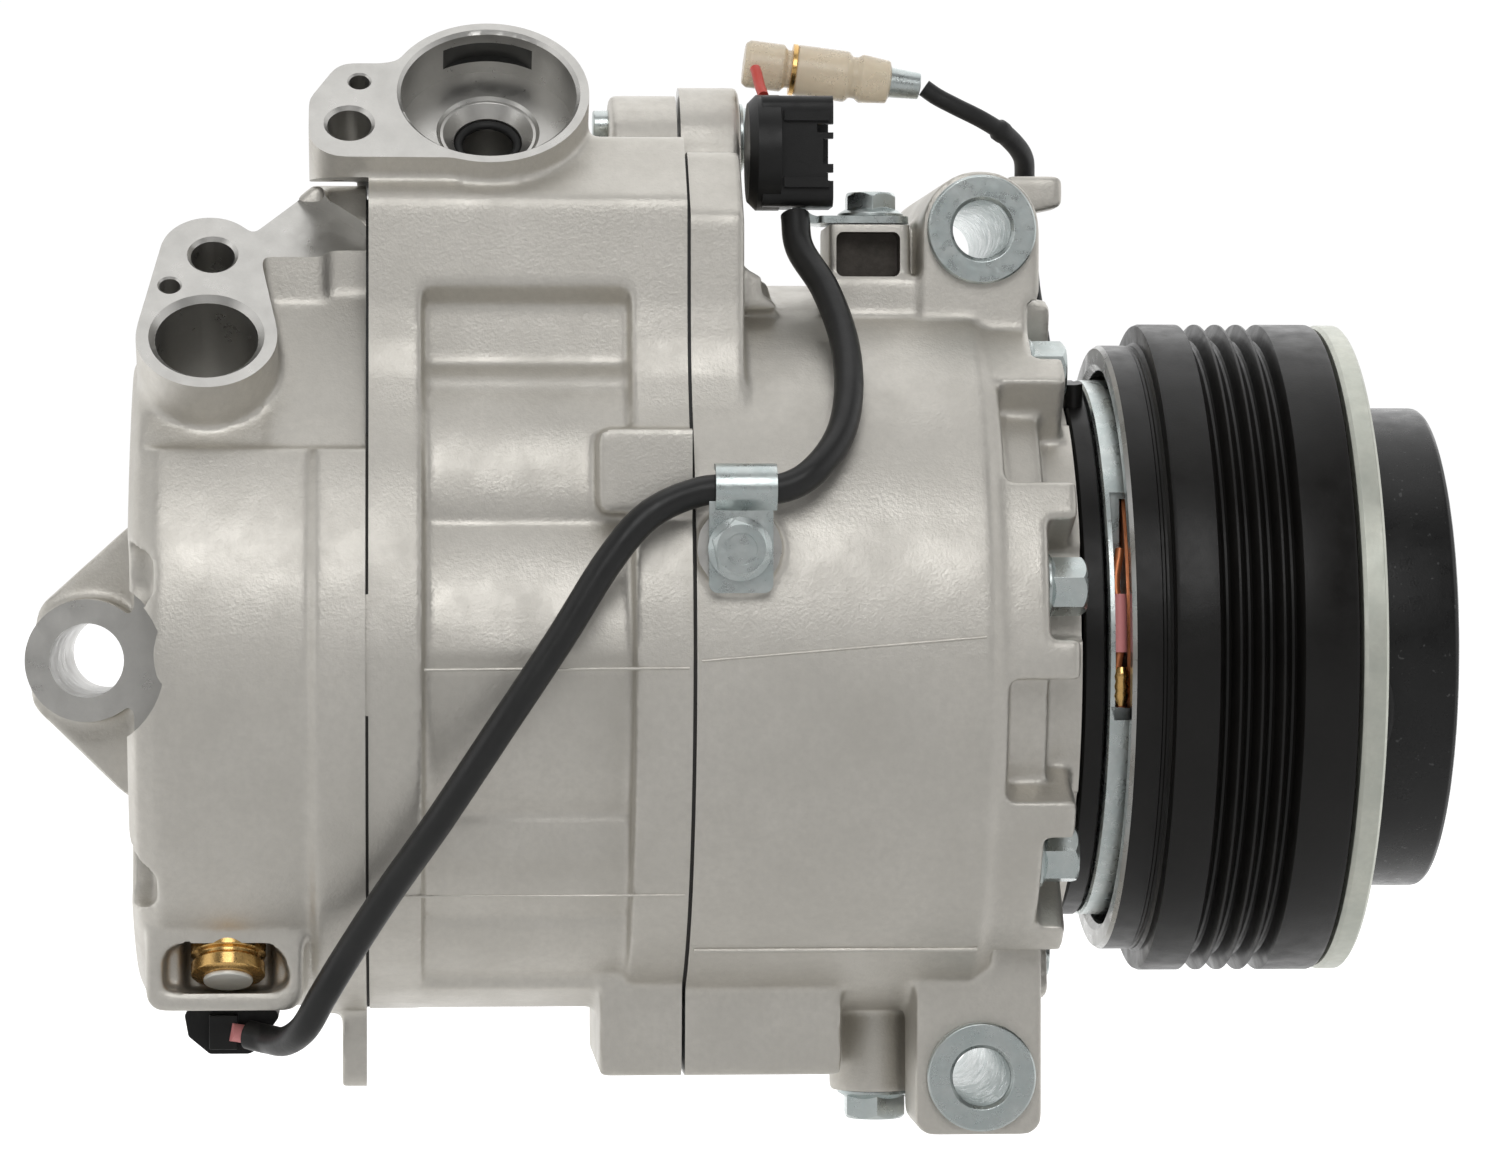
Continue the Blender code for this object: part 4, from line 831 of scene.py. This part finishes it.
def connectors():
    boot = [(-33.0, 0), (-33.0, 9.6), (-36.8, 9.6), (-38.2, 8.2), (-38.2, 0)]
    disc = turned(boot, 96, ALONG_X, (0, PLUG_Y, PLUG_Z))
    shell = prism(rounded([(-26.3, 73.4, 2), (-26.3, 91.8, 2), (-13.7, 91.8, 2), (-13.7, 73.4, 2)]), -36, -24.3)
    rib = [box((-32.5, -27.2, z), (-25, -12.8, z + 1.6)) for z in (76.5, 87.5)]
    combine(disc, "UNION", [shell] + rib)
    cuts = [prism(rounded([(-24.7, 75.2, 1), (-24.7, 90, 1), (-15.3, 90, 1), (-15.3, 75.2, 1)]), -33, -20),
            box((-26, -28, 80.4), (-20, -24, 84.6)), box((-27, -28, 85.6), (-20, -24, 87.0)),
            box((-25.4, -30, 77.6), (-20, -22, 79))]
    combine(disc, "DIFFERENCE", cuts)
    show(disc, "plug_shell", "casing", PLASTIC, 0.35, ["harness_connector"])
    for i, z in enumerate((79.5, 85.5)):
        pin = box((-33.2, PLUG_Y - 0.4, z - 0.4), (-26, PLUG_Y + 0.4, z + 0.4))
        show(pin, f"plug_pin_{i + 1}", "casing", BRASS, 0.1)
    plate = prism(rounded([(-26.5, -24, 1), (-11.4, -24, 3), (-11.4, -11, 3), (-26.5, -11, 1)]), 70.8, 72.0, ALONG_Z)
    strip = rounded([(-24, 70.8), (-28.6, 70.8, 3), (-31.4, 74.0), (-31.4, 76), (-30.4, 76), (-27.9, 72.0, 3),
                     (-24, 72.0)])
    combine(plate, "UNION", [prism(strip, 13, 22, ALONG_Y)])
    show(plate, "bracket_strip", "casing", ZINC, 0.25, ["connector_bracket"])
    start, end = Vector((-37.8, -5, 98.8)), Vector((-7.6, -5, 95.0))
    along = (end - start).normalized()
    sleeve = turned([
        (0, 0), (0, 3.4), (0.8, 4.0), (6.5, 4.0), (7.2, 3.2), (8.2, 3.2), (9.0, 4.3), (17.5, 4.3), (18.3, 3.5),
        (19.2, 3.5), (20.0, 4.1), (24.6, 3.6), (25.0, 2.6), (25.0, 0),
    ][::-1], 64, aim(along), start)
    show(sleeve, "joint_sleeve", "casing", CREAM, 0.2, ["bullet_sleeve"])
    crimp = turned([(24.6, 0), (24.6, 2.6), (30.0, 2.2), (30.3, 0)][::-1], 32, aim(along), start)
    show(crimp, "joint_crimp", "casing", ZINC, 0.2)
    core = turned([(8, 0), (8, 4.36), (8.8, 4.36), (8.8, 0)][::-1], 48, aim(along), start)
    show(core, "joint_band", "casing", BRASS, 0.1)
    wire = [(-36.2, -10.3, 97.4), (-36.0, -11.2, 96.6), (-35.7, -13.2, 94.6), (-35.2, -16, 92.4)]
    show(tube(smooth_route(wire, 24), 0.9, 16), "wire_stub", "casing", RED_WIRE, 0, ["connector_wire"])


def valve_end():
    shell = rounded([(-131.3, -59, 1), (-130.5, -63.3, 1), (-127, -66.2, 1), (-120, -66.2, 2), (-114.8, -59, 1)])
    body = prism(shell, 14, 26, ALONG_Y)
    stem = rod((VALVE_X, -12, -60.3), (VALVE_X, -12, -55.2), 4)
    combine(body, "UNION", [box((-127, -29.2, -65.2), (-122.4, -24, -59.6)), stem])
    show(body, "valve_plug", "casing", PLASTIC, 0.5, ["valve_connector"])
    along = Vector((0, 0.42, 0.9075))
    end = Vector((VALVE_X, -36.6, -53.6))
    nut = turned([(7.4, 0), (7.4, 6.1), (4.6, 6.1), (4.2, 5.4), (3.6, 5.4), (3.2, 6.0), (1.2, 6.0), (0.8, 5.0),
                  (0.8, 0)], 96, aim(along), end)
    show(nut, "valve_nut", "casing", BRASS, 0.15, ["control_valve_fitting"])
    show(rod(end + along * 0.85, end, 4.0), "valve_cap", "casing", ZINC_PALE, 0.3)


def cable_clip():
    tab = prism(rounded([(-47.0, 9.8, 1.5), (-36.8, 9.8, 1.5), (-36.8, 24.4), (-47.0, 24.4)]), 62.1, 63.3, ALONG_Y)
    outline = [(-63.3, 22.9), *arc((-61.4, 26.5), 3.9, 212, 90), (-58.6, 30.4), (-58.6, 29.4),
               *arc((-61.4, 26.5), 2.9, 90, 225), (-62.1, 22.9)]
    combine(tab, "UNION", [prism(outline, -46.0, -36.2)])
    show(tab, "clip_strip", "casing", ZINC, 0.3, ["cable_clip"])


def seam_rings():
    """What shows of the two gaskets in the castings' seams."""
    for name, low, high in (("front_seam", -49.28, -48.82), ("rear_seam", -101.28, -100.92)):
        show(turned([(high, 60.55), (low, 60.55), (low, 59.9), (high, 59.9)], 192), name, "casing", SEAM)


def port_seal():
    """The metal seat and the small black ring that show inside the suction port."""
    back = -PORT_NORMAL
    seat = [(10.2, 7.96), (9.4, 7.96), (9.4, 7.4), (11.4, 5.6), (13.4, 5.6), (13.4, 7.96)]
    show(turned(seat[::-1], 96, aim(back), SUCTION_AT), "port_seat", "casing", MACHINED, 0.1)
    ring = []
    for k in range(49):
        a = 2 * math.pi * k / 48
        ring.append(SUCTION_AT + back * 12.2 + (Vector((1, 0, 0)) * math.cos(a) + PORT_UP * math.sin(a)) * 4.9)
    show(tube(ring, 0.75, 12), "port_seal", "casing", RUBBER)


# ---------------------------------------------------------------- what stays as the CAD made it


def carried_over():
    looks = {
        "piston": MACHINED, "gasket": RUBBER, "seal": RUBBER, "control_valve_body": BRASS,
    }
    for name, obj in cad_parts.items():
        look = next((m for word, m in looks.items() if word in name), STEEL)
        for i in range(len(obj.material_slots)):
            obj.material_slots[i].material = look


def studio_world():
    """Pale behind, at the sides and straight above, and dim in front, so that glossy black parts stay dark."""
    world = bpy.data.worlds.new("studio")
    world.use_nodes = True
    nodes, links = world.node_tree.nodes, world.node_tree.links
    direction = nodes.new("ShaderNodeTexCoord").outputs["Generated"]
    split = nodes.new("ShaderNodeSeparateXYZ")
    links.new(direction, split.inputs["Vector"])

    def ramp(axis, *values):
        return graded(world.node_tree, split.outputs[axis], *values, smooth=True)

    def most(first, second):
        node = nodes.new("ShaderNodeMath")
        node.operation = "MAXIMUM"
        links.new(first, node.inputs[0])
        links.new(second, node.inputs[1])
        return node.outputs["Value"]

    strength = ramp("Y", -0.15, 0.45, 0.10, 1.02)
    strength = most(strength, ramp("Z", 0.13, 0.26, 0.24, 0.10))
    strength = most(strength, ramp("X", -0.92, -0.45, 1.0, 0.1))
    strength = most(strength, ramp("X", 0.45, 0.92, 0.1, 1.0))
    strength = most(strength, ramp("Z", 0.80, 0.97, 0.10, 0.75))
    links.new(strength, nodes["Background"].inputs["Strength"])
    nodes["Background"].inputs["Color"].default_value = (1, 1, 1, 1)
    bpy.context.scene.world = world


def stage():
    scene = bpy.context.scene
    scene.view_settings.view_transform = "Standard"
    studio_world()
    floor_shape = bmesh.new()
    bmesh.ops.create_grid(floor_shape, x_segments=1, y_segments=1, size=9000)
    floor = bench(floor_shape, Matrix.Translation((0, 0, -112)))
    floor.name = "floor"
    BENCH.objects.unlink(floor)
    scene.collection.objects.link(floor)
    pale = surface("pale_floor", (0.90, 0.90, 0.90), 0.9, 0.0, (0.88, 0.88, 0.88), 0.2, 300, 0.0, 5,
                   gloss_level=0.1)
    shader = pale.node_tree.nodes["Principled BSDF"]
    shader.inputs["Emission Color"].default_value = (1, 1, 1, 1)
    nodes, links = pale.node_tree.nodes, pale.node_tree.links
    split = nodes.new("ShaderNodeSeparateXYZ")
    links.new(nodes.new("ShaderNodeTexCoord").outputs["Object"], split.inputs["Vector"])
    floor_depth = split.outputs["Y"]
    # The floor glows as a pale backdrop, and its glow and colour are graded darker towards the front (-Y): a painted
    # light falloff.
    painted_falloff = {"Emission Strength": (-0.25, 0.30, 0.06, 0.56), "Base Color": (-0.20, 0.20, 0.55, 0.90)}
    for name, values in painted_falloff.items():
        links.new(graded(pale.node_tree, floor_depth, *values, smooth=True), shader.inputs[name])
    floor.data.materials.append(pale)
    lamps = (
        ("key", (-0.10, -1.30, 0.80), 0.8, 6.4), ("top", (-0.05, 0.1, 1.1), 0.9, 1.2),
        ("left", (-1.2, -0.7, 0.35), 0.7, 0.6), ("back", (0.3, 1.1, 0.7), 0.9, 1.2),
    )
    target = Vector((-0.036, 0, 0.012))
    for name, at, size, watts in lamps:
        light = bpy.data.lights.new(name, "AREA")
        light.size = size
        light.energy = watts
        lamp = bpy.data.objects.new(name, light)
        lamp.location = at
        lamp.rotation_euler = (target - Vector(at)).to_track_quat("-Z", "Y").to_euler()
        scene.collection.objects.link(lamp)
    lens = bpy.data.cameras.new("camera")
    lens.lens = 131.6
    lens.sensor_width = 36
    lens.clip_end = 30
    camera = bpy.data.objects.new("camera", lens)
    camera.location = (-0.097, -0.930, 0.018)
    look = Vector((-0.0364, 0, 0.0123)) - camera.location
    camera.rotation_euler = look.to_track_quat("-Z", "Y").to_euler()
    scene.collection.objects.link(camera)
    scene.camera = camera


stage()
carried_over()
front_housing()
cylinder_block()
rear_head()
fasteners()
pulley()
armature_and_hub()
coil()
lead_out()
leads()
connectors()
valve_end()
cable_clip()
port_seal()
seam_rings()
bpy.data.collections.remove(BENCH)
